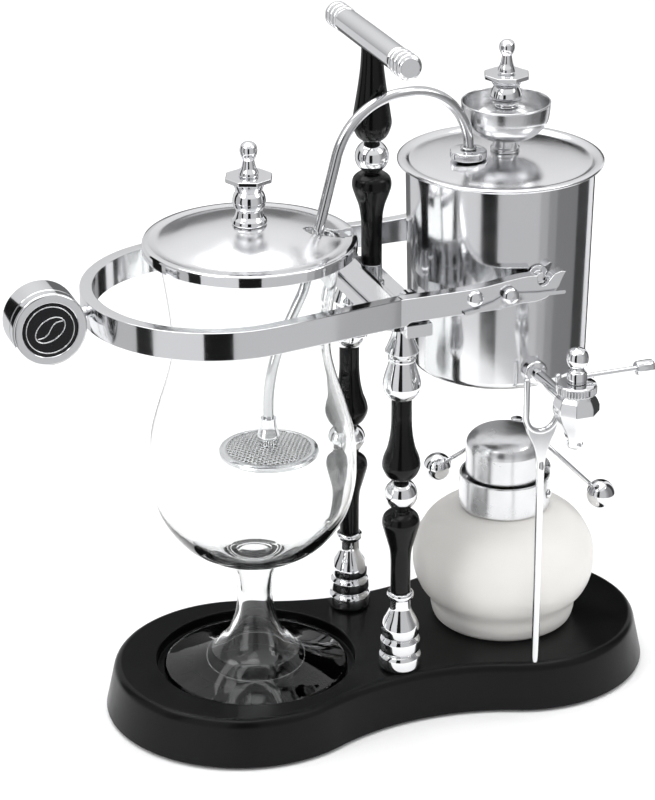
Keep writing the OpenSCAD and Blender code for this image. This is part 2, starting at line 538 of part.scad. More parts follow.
module tap_stem() color(chrome) at_tap() difference() {
    turned([[[2.6, 178.2], [stem_r, 178.8]], [[stem_r, 178.8], [stem_r, 188.5]],
        [[4.6, 188.5], [4.7, 191], [4.4, 193.4], [3.4, 194.4], [2.9, 195.2]],
        [[2.9, 195.2], [4.4, 197], [5.2, 200.2], [4.4, 203.4], [2.4, 204.9], [0, 205.4]]]);
    translate([1.8, 0, 190.6]) rotate([0, 90, 0]) cylinder(r = 1.3, h = 6);
}
module tap_lever() color(chrome) at_tap() translate([1.9, 0, 190.6]) rotate([0, 90, 0])
    turned([[[1.3, 0], [1.3, 27.4]], [[2.4, 27.6], [3.2, 28.4], [3.4, 32], [3.2, 35.8], [2.2, 36.8],
        [0, 37]]]);

// ---- glass vessel ----
mouth_z = 242;
module glass_vessel() color(clear) translate([glass_x, 0, 0]) shell(
    [[[21.5, recess[2]], [44.2, recess[2]]], [[44.2, recess[2]], [45, 19.8], [45.1, 20.8], [44.2, 21.9]],
        [[44.2, 21.9], [36, 24], [27, 27.4], [19.5, 32], [13.4, 39.5], [9.8, 49], [8.5, 59], [9.3, 69],
            [12, 77], [17.5, 81.2], [26, 84.6], [36, 92], [45, 105], [48.9, 119], [49.5, 132],
            [48.6, 144], [46, 155], [40.4, 173], [37.8, 184], [37.3, 194], [38, 205], [39.5, 217], [41.4, 230],
            [42.6, 240]],
        [[42.6, 240], [42.5, 241.4], [41.8, mouth_z], [41.1, 241.4], [42.6 - glass_wall, 240]]],
    [[[42.6 - glass_wall, 240], [41.4 - glass_wall, 230], [39.5 - glass_wall, 217], [38 - glass_wall, 205],
        [37.3 - glass_wall, 194], [37.8 - glass_wall, 184], [40.4 - glass_wall, 173],
        [46 - glass_wall, 155], [48.6 - glass_wall, 144], [49.5 - glass_wall, 132],
        [48.9 - glass_wall, 119], [43.2, 106.2], [34.4, 94.2], [25.4, 87.4], [18, 84.1], [10, 82.3], [0, 81.6]],
        // hollow stem, open underneath
        [[0, 79.2], [6, 78.8], [9.4, 77]],
        [[9.4, 77], [7.9, 72.5], [6.7, 66], [6.3, 59], [7.2, 50], [9.4, 42.5], [13.2, 35.5], [18.5, 30.2],
            [21, 28.4]]]);

module glass_lid() color(chrome) difference() {
    translate([glass_x, 0, 0]) shell(
        [[[0, 249.8], [8, 249.7], [18, 248.7], [30, 246.1], [39, 243.1], [42, 242.3]],
            [[42, 242.3], [45.6, 242.3], [48.2, 242.2], [48.8, 241.6]], [[48.8, 241.6], [48.8, 238.2]],
            [[50, 238.2], [50, 242.4], [49.3, 243.5], [47.4, 243.8]]],
        [[[47.4, 243.8], [45, 243.5], [43, 243.5], [40, 244.3], [30, 247.4], [18, 249.9], [8, 250.9], [0, 251]]]);
    translate([nut_at[0], nut_at[1], 230]) rotate([0, 0, tube_turn]) {
        translate([20, -slot_w / 2, 0]) cube([slot_end - 20, slot_w, 30]);
        translate([slot_end, 0, 0]) cylinder(r = slot_w / 2, h = 30);
    }
    translate([glass_x, 0, 240]) cylinder(r = 2.1, h = 20);
}
module glass_knob() color(chrome) translate([glass_x, 0, 0]) {
    turned([[[2, 246], [2, 251.1]], [[8, 251.1], [8.3, 252], [8, 253.4]], [[8, 253.4], [6.6, 255.4], [6.1, 257.8]],
        [[6.1, 257.8], [7.2, 259.4], [7.75, 262.3], [7.2, 265], [6.1, 267]],
        [[6.1, 267], [6.9, 269.4], [7.6, 272]], [[4, 272.2], [4, 274.4]],
        [[4.6, 274.6], [4.5, 275.8], [3.3, 278.6], [2.6, 281.8]],
        [[2.6, 281.8], [3.5, 283.8], [4.1, 286.4], [3.5, 288.9], [1.8, 290.3], [0, 290.6]]]);
    translate([0, 0, 272]) cylinder(r = 11.5, h = 2.2, $fn = 8);
}

// ---- burner ----
module at_burner() translate([burner_x, 0, 0]) children();
module burner_bottle() color([0.9, 0.9, 0.88, 0.8]) at_burner() shell(
    [[[0, 25.6], [29, 25.6]], [[29, 25.6], [30.4, base_top]], [[30.4, base_top], [33, base_top]],
        [[33, base_top], [36.4, 27.2], [40.2, 34], [44.4, 46], [45.5, 56.5], [44.2, 66], [38.6, 76],
            [31, 82], [25.4, 84.6], [21.2, 85.5]],
        [[21.2, 85.5], [21.2, 97.4]]],
    [[[21.2 - bottle_wall, 97.4], [21.2 - bottle_wall, 86]],
        [[21.2 - bottle_wall, 86], [25.6, 82], [30, 79.6], [36.7, 74], [41.7, 65], [45.5 - bottle_wall, 56.5],
            [42, 46.6], [37.9, 35], [34.4, 29.6], [30, 28.1]], [[30, 28.1], [0, 28.1]]]);
module burner_collar() color(chrome) at_burner() difference() {
    union() {
        rotate_extrude() polygon([[collar[1], collar[2]], [collar[0], collar[2]], [collar[0], collar[3]],
            [collar[1], collar[3]], [collar[1], 99], [6.2, 99], [6.2, 97.4], [collar[1], 97.4]]);
        rotate([0, 0, hinge_dir]) for (s = [1, -1]) translate([0, s > 0 ? 7.4 : -5.6, 0])
            rotate([90, 0, 0]) linear_extrude(1.8) union() {
                polygon([[21.8, 93], [22.4, 92.4], [27.9, 98], [28.1, hinge_at[1]], [25.5, 101.6], [21.8, 101.6]]);
                translate(hinge_at) circle(r = 2.6, $fn = 32);
            }
    }
    rotate([0, 0, hinge_dir]) translate([hinge_at[0], -10, hinge_at[1]]) rotate([-90, 0, 0])
        cylinder(r = hinge_pin_r, h = 20, $fn = 32);
    for (s = [1, -1]) rotate([0, 0, hinge_dir + s * 90]) translate([20, 0, 93.8]) rotate([0, 90, 0])
        cylinder(r = 1.1, h = 6, $fn = 32);
}
module collar_rivets() color(chrome) at_burner() for (s = [1, -1]) rotate([0, 0, hinge_dir + s * 90])
    translate([21.45, 0, 93.8]) rotate([0, 90, 0])
        turned([[[1.1, 0], [1.1, 1.2]], [[2.3, 1.2], [2.1, 1.9], [1.2, 2.5], [0, 2.7]]]);
module wick_holder() color([0.8, 0.7, 0.4]) at_burner() turned([[[6.1, 90], [6.1, 99]],
    [[8.4, 99], [8.4, 100]], [[5.6, 100.4], [5.2, 104]]], 4);
module wick() color([0.93, 0.91, 0.86]) at_burner() translate([0, 0, 34]) cylinder(r = 3.95, h = 72.5);

dome_out = [[[dome_r, dome_z], [dome_r, 116]],
    [[dome_r, 116], [19.2, 119.4], [17.4, 122], [14, 124], [8, 125.1], [0, 125.4]]];
module snuffer() color(chrome) at_burner() {
    shell(dome_out,
        [[[0, 124.4], [8, 124.1], [13.6, 123.1], [16.6, 121.3], [18.2, 118.9], [dome_r - 1, 116]],
            [[dome_r - 1, 116], [dome_r - 1, dome_z]]]);
    rotate([0, 0, hinge_dir - 77.5]) rotate_extrude(angle = 155)
        translate([dome_r - 0.2, dome_z]) square([collar[0] - dome_r + 0.2, 3.2]);
    rotate([0, 0, hinge_dir]) translate([0, 5.3, 0]) rotate([90, 0, 0]) linear_extrude(10.6) difference() {
        union() {
            polygon([[22.1, 103.3], [22.5, 102.9], [24, 101], [26.6, 101], [27.5, 100], [27.2, 102.6], [25.6, 104.6],
                [22.1, 106]]);
            translate(hinge_at) circle(r = 2.3, $fn = 32);
        }
        translate(hinge_at) circle(r = hinge_pin_r + run_gap, $fn = 32);
    }
}
module snuffer_pin() color(chrome) at_burner() rotate([0, 0, hinge_dir])
    translate([hinge_at[0], -8, hinge_at[1]]) rotate([-90, 0, 0]) cylinder(r = hinge_pin_r, h = 16, $fn = 32);
arm_dir = [arm_ball[0] - arm_hub[0] + 1, arm_ball[1], arm_ball[2] - arm_hub[2]];
arm_len = norm(arm_dir);
module ball_arms() color(chrome) at_burner() rotate([0, 0, hinge_dir]) difference() {
    union() {
        translate([arm_hub[0] - 3, 0, arm_hub[2] - 5]) cylinder(r = 3, h = 6.6, $fn = 32);
        for (s = [1, -1]) translate([arm_hub[0] - 1, 0, arm_hub[2]])
            rotate([0, acos(arm_dir[2] / arm_len), atan2(s * arm_dir[1], arm_dir[0])])
                cylinder(r = 1.1, h = arm_len - arm_ball_d / 2 + 0.05, $fn = 24);
    }
    rotate([0, 0, -hinge_dir]) rotate_extrude() polygon(concat([[0, dome_z]], chain(dome_out)));
}
module arm_balls() color(chrome) at_burner() rotate([0, 0, hinge_dir]) for (s = [1, -1])
    translate([arm_ball[0], s * arm_ball[1], arm_ball[2]]) sphere(r = arm_ball_d / 2);

base();
base_felt();
foot_front();
foot_rear();
lower_spindle_front();
lower_spindle_rear();
ball_front();
ball_rear();
upper_spindle_front();
upper_spindle_rear();
cap_front();
cap_rear();
tie_rods();
tie_nuts();
bridge_plate();
pivot_pins();
handle_ferrule();
handle_spindle_lower();
handle_ball();
handle_spindle_upper();
handle_bar();
handle_rod();
fork();
beam();
drum();
drum_badge();
drum_stud();
arm_screws();
keeper_front();
keeper_rear();
boiler();
boiler_lid();
trunnions();
filler_cup();
filler_plug();
filler_seal();
tube_nut();
siphon_tube();
filter_ferrule();
filter_top();
filter_bottom();
filter_cloth();
tap_pipe();
tap_body();
tap_bonnet();
tap_stem();
tap_lever();
glass_vessel();
glass_lid();
glass_knob();
burner_bottle();
burner_collar();
collar_rivets();
wick_holder();
wick();
snuffer();
snuffer_pin();
ball_arms();
arm_balls();
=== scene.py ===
import json
import math

import bmesh
import bpy
from mathutils import Matrix, Vector

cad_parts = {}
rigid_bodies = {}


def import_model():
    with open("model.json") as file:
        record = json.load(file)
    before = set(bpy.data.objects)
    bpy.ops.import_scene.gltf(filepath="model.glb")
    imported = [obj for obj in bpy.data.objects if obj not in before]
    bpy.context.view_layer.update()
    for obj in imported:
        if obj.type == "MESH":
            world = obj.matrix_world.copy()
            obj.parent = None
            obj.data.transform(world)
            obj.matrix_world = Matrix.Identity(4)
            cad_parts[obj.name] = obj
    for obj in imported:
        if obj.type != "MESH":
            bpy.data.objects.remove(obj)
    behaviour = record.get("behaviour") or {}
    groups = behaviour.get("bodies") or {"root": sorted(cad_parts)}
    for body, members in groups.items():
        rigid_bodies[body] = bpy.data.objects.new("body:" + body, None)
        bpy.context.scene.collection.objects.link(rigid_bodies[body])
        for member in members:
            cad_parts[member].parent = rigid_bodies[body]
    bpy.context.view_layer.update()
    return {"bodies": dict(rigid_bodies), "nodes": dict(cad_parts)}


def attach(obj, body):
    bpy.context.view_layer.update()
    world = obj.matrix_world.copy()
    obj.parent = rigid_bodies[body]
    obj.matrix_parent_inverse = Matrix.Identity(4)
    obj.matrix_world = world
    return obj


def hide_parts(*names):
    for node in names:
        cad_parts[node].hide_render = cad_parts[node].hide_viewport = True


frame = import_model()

MM = 0.001  # the script's own sizes are in millimetres

# places that several pieces share
COLUMN_Y = 34.5
TIE_BORE, GRIP_BORE = 2.15, 2.65
GLASS_X, BOILER_X = -62.5, 63.5
TRUNNION_Z = 224.2
HINGE_R, HINGE_Z = 25.5, 99
BODY = {n: next(b for b, e in frame["bodies"].items() if o.parent == e) for n, o in frame["nodes"].items()}


def placed(name, data):
    """A new object for the data, linked to the scene."""
    o = bpy.data.objects.new(name, data)
    bpy.context.scene.collection.objects.link(o)
    return o


def turn_outwards(me):
    bm = bmesh.new()
    bm.from_mesh(me)
    bmesh.ops.recalc_face_normals(bm, faces=bm.faces)
    bm.to_mesh(me)
    bm.free()


def weigh_normals(o):
    o.modifiers.new("normals", "WEIGHTED_NORMAL").weight = 50


# ---------------------------------------------------------------- camera
cam_data = bpy.data.cameras.new("camera")
cam = placed("camera", cam_data)
cam.location = Vector((-477.1, -1212.9, 726.3)) * MM
aim = Vector((-33.5, -55.9, 180.2)) * MM - cam.location
cam.rotation_euler = aim.to_track_quat("-Z", "Y").to_euler()
cam_data.lens = 133.0
cam_data.sensor_width = 36
cam_data.shift_x = -0.030
bpy.context.scene.camera = cam


# ---------------------------------------------------------------- profile helpers, in mm
def cr(a, b, c, d, t):
    return tuple(0.5 * (2 * b[i] + (c[i] - a[i]) * t + (2 * a[i] - 5 * b[i] + 4 * c[i] - d[i]) * t * t
                        + (3 * b[i] - a[i] - 3 * c[i] + d[i]) * t ** 3) for i in (0, 1))


def smooth(p, n=8):
    if len(p) < 3:
        return [tuple(q) for q in p]
    e = len(p) - 1
    return [cr(p[max(i - 1, 0)], p[i], p[i + 1], p[min(i + 2, e)], k / n)
            for i in range(e) for k in range(n)] + [tuple(p[-1])]


def chain(curves, n=8):
    out = []
    for c in curves:
        for q in smooth(c, n):
            if not out or math.dist(out[-1], q) > 1e-4:
                out.append(q)
    return out


def arc(c, r, a, b, n=12):
    return [(c[0] + r * math.cos(math.radians(a + (b - a) * i / n)),
             c[1] + r * math.sin(math.radians(a + (b - a) * i / n))) for i in range(n + 1)]


def fillet(p, r=0.3, loop=False, steps=4):
    """Rounds each sharp corner of a profile, so that it catches a highlight as a real edge does."""
    out, n = [], len(p)
    for i, q in enumerate(p):
        if not loop and i in (0, n - 1):
            out.append(q)
            continue
        a, b = Vector(p[i - 1]), Vector(p[(i + 1) % n])
        v = Vector(q)
        u, w = a - v, b - v
        if u.length < 1e-6 or w.length < 1e-6:
            continue
        if math.pi - u.angle(w) < math.radians(22):
            out.append(q)
            continue
        e = v + u.normalized() * min(r, 0.45 * u.length)
        f = v + w.normalized() * min(r, 0.45 * w.length)
        for k in range(steps):
            t = k / (steps - 1)
            out.append(tuple(e * (1 - t) ** 2 + v * 2 * t * (1 - t) + f * t * t))
    return out


def at(x=0, y=0, z=0):
    return Matrix.Translation((x, y, z))


def along_y(x, y, z, s=1):
    """Local z runs along s*Y, local x along X, local y along Z."""
    return Matrix(((1, 0, 0, x), (0, 0, s, y), (0, 1, 0, z), (0, 0, 0, 1)))


def along_x(x, y, z):
    return Matrix(((0, 0, 1, x), (1, 0, 0, y), (0, 1, 0, z), (0, 0, 0, 1)))


def turn_z(deg):
    return Matrix.Rotation(math.radians(deg), 4, "Z")


class Build:
    """Collects the surfaces of one piece, in mm."""

    def __init__(self):
        self.v, self.f, self.m, self.slot_now = [], [], [], 0

    def face(self, ids):
        self.f.append(ids)
        self.m.append(self.slot_now)

    def lathe(self, prof, m=None, seg=96, mod=None, loop=False):
        m = m or Matrix.Identity(4)
        rings = []
        for r, z in prof:
            if r < 1e-4:
                rings.append([len(self.v)])
                self.v.append(m @ Vector((0, 0, z)))
                continue
            ring = []
            for k in range(seg):
                t = 2 * math.pi * k / seg
                q = mod(r, z, t) if mod else r
                ring.append(len(self.v))
                self.v.append(m @ Vector((q * math.cos(t), q * math.sin(t), z)))
            rings.append(ring)
        pairs = list(zip(rings, rings[1:])) + ([(rings[-1], rings[0])] if loop else [])
        for a, b in pairs:
            for k in range(seg):
                n = (k + 1) % seg
                if len(a) == 1 and len(b) == 1:
                    break
                if len(a) == 1:
                    self.face((a[0], b[n], b[k]))
                elif len(b) == 1:
                    self.face((a[k], a[n], b[0]))
                else:
                    self.face((a[k], a[n], b[n], b[k]))
        return self

    def turned(self, curves, bore=0, m=None, seg=96, mod=None, r=0.3, n=8):
        p = chain(curves, n)
        p = [(bore, p[0][1])] * (p[0][0] > bore + 0.01) + p + [(bore, p[-1][1])] * (p[-1][0] > bore + 0.01)
        return self.lathe(fillet(p, r), m, seg, mod)

    def shell(self, outer, inner, m=None, seg=128, r=0.3, n=8):
        p = chain(list(outer) + list(inner), n)
        if p[0][0] < 1e-4 and p[-1][0] < 1e-4:
            return self.lathe(fillet(p, r), m, seg)
        return self.lathe(fillet(p, r, loop=True), m, seg, loop=True)

    def sweep(self, path, section, normal, m=None, scale=None):
        m = m or Matrix.Identity(4)
        normal = Vector(normal).normalized()
        rings = []
        for i, q in enumerate(path):
            a, b = Vector(path[max(i - 1, 0)]), Vector(path[min(i + 1, len(path) - 1)])
            side = (b - a).normalized().cross(normal)
            k = scale[i] if scale else 1
            rings.append([len(self.v) + j for j in range(len(section))])
            self.v += [m @ (Vector(q) + side * u * k + normal * w * k) for u, w in section]
        n = len(section)
        for a, b in zip(rings, rings[1:]):
            for k in range(n):
                self.face((a[k], a[(k + 1) % n], b[(k + 1) % n], b[k]))
        self.face(tuple(rings[0][::-1]))
        self.face(tuple(rings[-1]))
        return self

    def tube(self, path, r, normal, m=None, seg=24, round_ends=True):
        path = [Vector(q) for q in path]
        scale = [1.0] * len(path)
        if round_ends:
            a, b = (path[0] - path[1]).normalized(), (path[-1] - path[-2]).normalized()
            steps = [k * 15 for k in range(1, 6)] + [88]
            head = [path[0] + a * r * math.sin(math.radians(t)) for t in steps][::-1]
            tail = [path[-1] + b * r * math.sin(math.radians(t)) for t in steps]
            ends = [math.cos(math.radians(t)) for t in steps]
            path, scale = head + path + tail, ends[::-1] + scale + ends
        section = [(r * math.cos(2 * math.pi * k / seg),
                    r * math.sin(2 * math.pi * k / seg)) for k in range(seg)]
        return self.sweep(path, section, normal, m, scale)

    def prism(self, poly, z0, z1, m=None, bevel=0.3, segments=3):
        m = m or Matrix.Identity(4)
        bm = bmesh.new()
        low = bm.faces.new([bm.verts.new((x, y, z0)) for x, y in poly])
        up = bmesh.ops.extrude_face_region(bm, geom=[low])["geom"]
        bmesh.ops.translate(bm, vec=(0, 0, z1 - z0), verts=[g for g in up if isinstance(g,
            bmesh.types.BMVert)])
        bmesh.ops.recalc_face_normals(bm, faces=bm.faces)
        if bevel:
            sharp = [e for e in bm.edges if len(e.link_faces) == 2 and e.calc_face_angle(0) > 0.45]
            bmesh.ops.bevel(bm, geom=sharp, offset=bevel, segments=segments, profile=0.5, affect="EDGES",
                            clamp_overlap=True)
        bm.verts.index_update()
        base = len(self.v)
        self.v += [m @ v.co for v in bm.verts]
        for f in bm.faces:
            self.face(tuple(base + v.index for v in f.verts))
        bm.free()
        return self

    def ball(self, r, m, seg=64, rings=32):
        return self.lathe([(r * math.sin(math.pi * k / rings) if 0 < k < rings else 0,
                            -r * math.cos(math.pi * k / rings)) for k in range(rings + 1)], m, seg)

    def mesh(self, name):
        me = bpy.data.meshes.new(name)
        me.from_pydata([v * MM for v in self.v], [], self.f)
        return me

    def obj(self, name, mats, nodes, slot, recalc=True, flat=False):
        """Makes the piece, which stands in for the CAD nodes and moves with their body."""
        me = self.mesh(name)
        me.validate()
        if recalc:
            turn_outwards(me)
        mats = mats if isinstance(mats, (list, tuple)) else [mats]
        for k in mats:
            me.materials.append(k)
        if len(mats) > 1 and len(me.polygons) == len(self.m):
            me.polygons.foreach_set("material_index", self.m)
        me.shade_smooth()
        o = placed(name, me)
        if not flat:
            weigh_normals(o)
        nodes = nodes if isinstance(nodes, (list, tuple)) else [nodes]
        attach(o, BODY[nodes[0]])
        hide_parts(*nodes)
        return o


# ---------------------------------------------------------------- materials
def material(name, **sockets):
    m = bpy.data.materials.new(name)
    m.use_nodes = True
    p = m.node_tree.nodes["Principled BSDF"]
    for k, v in sockets.items():
        p.inputs[k.replace("_", " ")].default_value = v
    return m, m.node_tree.nodes, m.node_tree.links, p


def noise(nodes, links, scale, detail=3, stretch=None):
    t = nodes.new("ShaderNodeTexNoise")
    t.inputs["Scale"].default_value = scale
    t.inputs["Detail"].default_value = detail
    c = nodes.new("ShaderNodeTexCoord")
    if stretch:
        mp = nodes.new("ShaderNodeMapping")
        mp.inputs["Scale"].default_value = stretch
        links.new(c.outputs["Object"], mp.inputs["Vector"])
        links.new(mp.outputs["Vector"], t.inputs["Vector"])
    else:
        links.new(c.outputs["Object"], t.inputs["Vector"])
    return t.outputs["Fac"]


def ranged(nodes, links, src, lo, hi, a=0.3, b=0.7):
    r = nodes.new("ShaderNodeMapRange")
    for k, v in zip(("From Min", "From Max", "To Min", "To Max"), (a, b, lo, hi)):
        r.inputs[k].default_value = v
    links.new(src, r.inputs["Value"])
    return r.outputs["Result"]


def bump(nodes, links, p, src, strength, dist):
    b = nodes.new("ShaderNodeBump")
    b.inputs["Strength"].default_value = strength
    b.inputs["Distance"].default_value = dist
    links.new(src, b.inputs["Height"])
    links.new(b.outputs["Normal"], p.inputs["Normal"])


def tinted(nodes, links, p, src, a, b):
    c = nodes.new("ShaderNodeMix")
    c.data_type = "RGBA"
    c.inputs[6].default_value = (*a, 1)
    c.inputs[7].default_value = (*b, 1)
    links.new(src, c.inputs[0])
    links.new(c.outputs[2], p.inputs["Base Color"])


def chrome(name, lo, hi, tone=0.80, grain=None):
    """Polished or satin plate: cloudy polishing marks in its roughness, and a fine grain if brushed."""
    m, n, l, p = material(name, Metallic=1.0)
    cloud = noise(n, l, 60, 4)
    l.new(ranged(n, l, cloud, lo, hi), p.inputs["Roughness"])
    tinted(n, l, p, noise(n, l, 25, 2), (tone, tone * 1.005, tone * 1.015),
           (tone * 0.95, tone * 0.957, tone * 0.97))
    if grain:
        bump(n, l, p, noise(n, l, grain[0], 4, grain[1]), grain[2], 0.0001)
    return m


mirror = chrome("mirror_chrome", 0.03, 0.085, 0.82)
polished = chrome("polished_chrome", 0.07, 0.14, 0.80)
satin = chrome("satin_chrome", 0.20, 0.30, 0.74, (900, (1, 1, 0.15), 0.05))
steel = chrome("brushed_steel", 0.17, 0.27, 0.66, (1500, (0.1, 0.1, 1), 0.10))
pipe_mat = chrome("pipe_chrome", 0.09, 0.15, 0.60, (1200, (1, 1, 0.1), 0.04))
boiler_mat = chrome("boiler_chrome", 0.10, 0.16, 0.76, (1200, (1, 1, 0.03), 0.04))


def spun(name, centre, lo, hi, tone):
    """Lid spun on a lathe: fine rings round the centre."""
    m, n, l, p = material(name, Metallic=1.0)
    c = n.new("ShaderNodeTexCoord")
    mp = n.new("ShaderNodeMapping")
    mp.inputs["Location"].default_value = (-centre[0] * MM, -centre[1] * MM, 0)
    l.new(c.outputs["Object"], mp.inputs["Vector"])
    w = n.new("ShaderNodeTexWave")
    w.wave_type, w.rings_direction = "RINGS", "Z"
    w.inputs["Scale"].default_value = 420
    w.inputs["Distortion"].default_value = 3
    w.inputs["Detail"].default_value = 4
    w.inputs["Detail Scale"].default_value = 30
    l.new(mp.outputs["Vector"], w.inputs["Vector"])
    l.new(ranged(n, l, noise(n, l, 45, 4), lo, hi), p.inputs["Roughness"])
    tinted(n, l, p, w.outputs["Fac"], (tone, tone, tone * 1.01), (tone * 0.93, tone * 0.935, tone * 0.95))
    bump(n, l, p, w.outputs["Fac"], 0.06, 0.0001)
    return m


glass_lid_mat = spun("spun_lid", (GLASS_X, 0), 0.14, 0.22, 0.88)
boiler_lid_mat = spun("spun_boiler_lid", (BOILER_X, 0), 0.10, 0.17, 0.86)

black, n, l, p = material("black_lacquer", Specular_IOR_Level=0.12, Coat_Weight=0.22, Coat_Roughness=0.05)
tinted(n, l, p, noise(n, l, 30, 3), (0.0012, 0.0012, 0.0014), (0.003, 0.003, 0.0033))
l.new(ranged(n, l, noise(n, l, 90, 3), 0.16, 0.26), p.inputs["Roughness"])
bump(n, l, p, noise(n, l, 160, 2), 0.05, 0.0003)

base_black, n, l, p = material("base_lacquer", Specular_IOR_Level=0.12, Coat_Weight=0.10, Coat_Roughness=0.12)
tinted(n, l, p, noise(n, l, 18, 5), (0.0015, 0.0015, 0.0017), (0.0035, 0.0035, 0.0037))
l.new(ranged(n, l, noise(n, l, 70, 5), 0.28, 0.38), p.inputs["Roughness"])
bump(n, l, p, noise(n, l, 700, 4), 0.10, 0.0002)

felt, n, l, p = material("felt", Roughness=0.95, Sheen_Weight=0.4)
tinted(n, l, p, noise(n, l, 1500, 5), (0.010, 0.010, 0.011), (0.03, 0.03, 0.032))
bump(n, l, p, noise(n, l, 1800, 5), 0.6, 0.0004)

glass, n, l, p = material("clear_glass", Transmission_Weight=1.0, IOR=1.46,
                          Base_Color=(0.985, 0.993, 0.99, 1))
l.new(ranged(n, l, noise(n, l, 40, 3), 0.0, 0.012), p.inputs["Roughness"])
bump(n, l, p, noise(n, l, 22, 2), 0.03, 0.001)

frost, n, l, p = material("frosted_glass", Transmission_Weight=0.3, IOR=1.45, Coat_Weight=0.15,
                          Coat_Roughness=0.3)
tinted(n, l, p, noise(n, l, 12, 3), (0.96, 0.945, 0.915), (0.94, 0.925, 0.89))
l.new(ranged(n, l, noise(n, l, 220, 4), 0.42, 0.56), p.inputs["Roughness"])
bump(n, l, p, noise(n, l, 2600, 3), 0.12, 0.0002)

ground, n, l, p = material("ground_glass", Specular_IOR_Level=0.3)
tinted(n, l, p, noise(n, l, 35, 4), (0.78, 0.78, 0.79), (0.62, 0.62, 0.635))
l.new(ranged(n, l, noise(n, l, 120, 4), 0.35, 0.55), p.inputs["Roughness"])
bump(n, l, p, noise(n, l, 900, 3), 0.15, 0.0002)

brass, n, l, p = material("brass", Metallic=1.0)
tinted(n, l, p, noise(n, l, 200, 4), (0.60, 0.45, 0.20), (0.45, 0.33, 0.15))
l.new(ranged(n, l, noise(n, l, 250, 4), 0.22, 0.38), p.inputs["Roughness"])

cotton, n, l, p = material("cotton", Roughness=0.92, Sheen_Weight=0.35)
w = n.new("ShaderNodeTexWave")
w.inputs["Scale"].default_value = 900
w.inputs["Distortion"].default_value = 2
tinted(n, l, p, w.outputs["Fac"], (0.83, 0.80, 0.72), (0.66, 0.63, 0.55))
bump(n, l, p, w.outputs["Fac"], 0.5, 0.0003)

silicone, n, l, p = material("silicone", Subsurface_Weight=0.1, Coat_Weight=0.05)
tinted(n, l, p, noise(n, l, 120, 3), (0.80, 0.80, 0.77), (0.72, 0.72, 0.69))
l.new(ranged(n, l, noise(n, l, 300, 3), 0.38, 0.5), p.inputs["Roughness"])

badge_black, n, l, p = material("badge_enamel", Specular_IOR_Level=0.12, Coat_Weight=0.25,
                                Coat_Roughness=0.05)
tinted(n, l, p, noise(n, l, 80, 3), (0.004, 0.004, 0.005), (0.009, 0.009, 0.010))
l.new(ranged(n, l, noise(n, l, 150, 3), 0.2, 0.3), p.inputs["Roughness"])

# ---------------------------------------------------------------- base
FELT_H, BASE_TOP = 1.5, 24.5
# x and radius of each lobe, and half the width of the waist
LOBE_L, LOBE_R, WAIST = (-69.4, 67.4), (76.8, 64.4), 50.5
RECESS_SEG = 220


def reach(lobe, r):
    """Distance along X from a lobe's centre to the waist arc's centre, for a waist arc of radius r."""
    return math.sqrt((lobe[1] - WAIST) * (lobe[1] + WAIST + 2 * r))


lo_r, hi_r = 20.0, 400.0
for _ in range(50):
    mid = (lo_r + hi_r) / 2
    if reach(LOBE_L, mid) + reach(LOBE_R, mid) > LOBE_R[0] - LOBE_L[0]:
        hi_r = mid
    else:
        lo_r = mid
WAIST_R = lo_r
WAIST_C = (LOBE_L[0] + reach(LOBE_L, WAIST_R), WAIST + WAIST_R)


def outline(inset):
    """The base's outline, shrunk by inset."""
    al = math.degrees(math.atan2(WAIST_C[1], WAIST_C[0] - LOBE_L[0]))
    ar = math.degrees(math.atan2(WAIST_C[1], WAIST_C[0] - LOBE_R[0]))
    left = arc((LOBE_L[0], 0), LOBE_L[1] - inset, al, 360 - al, 110)
    low = arc((WAIST_C[0], -WAIST_C[1]), WAIST_R + inset, 180 - al, 180 - ar, 40)
    right = arc((LOBE_R[0], 0), LOBE_R[1] - inset, -ar, ar, 110)
    top = arc((WAIST_C[0], WAIST_C[1]), WAIST_R + inset, 180 + ar, 180 + al, 40)
    return left[:-1] + low[:-1] + right[:-1] + top[:-1]


def skirt(b, steps):
    """A wall round the outline, through steps of (inset, z)."""
    rings = []
    for inset, z in steps:
        ring = outline(inset)
        rings.append(list(range(len(b.v), len(b.v) + len(ring))))
        b.v += [Vector((x, y, z)) for x, y in ring]
    for a, c in zip(rings, rings[1:]):
        for k in range(len(a)):
            j = (k + 1) % len(a)
            b.face((a[k], a[j], c[j], c[k]))
    return rings


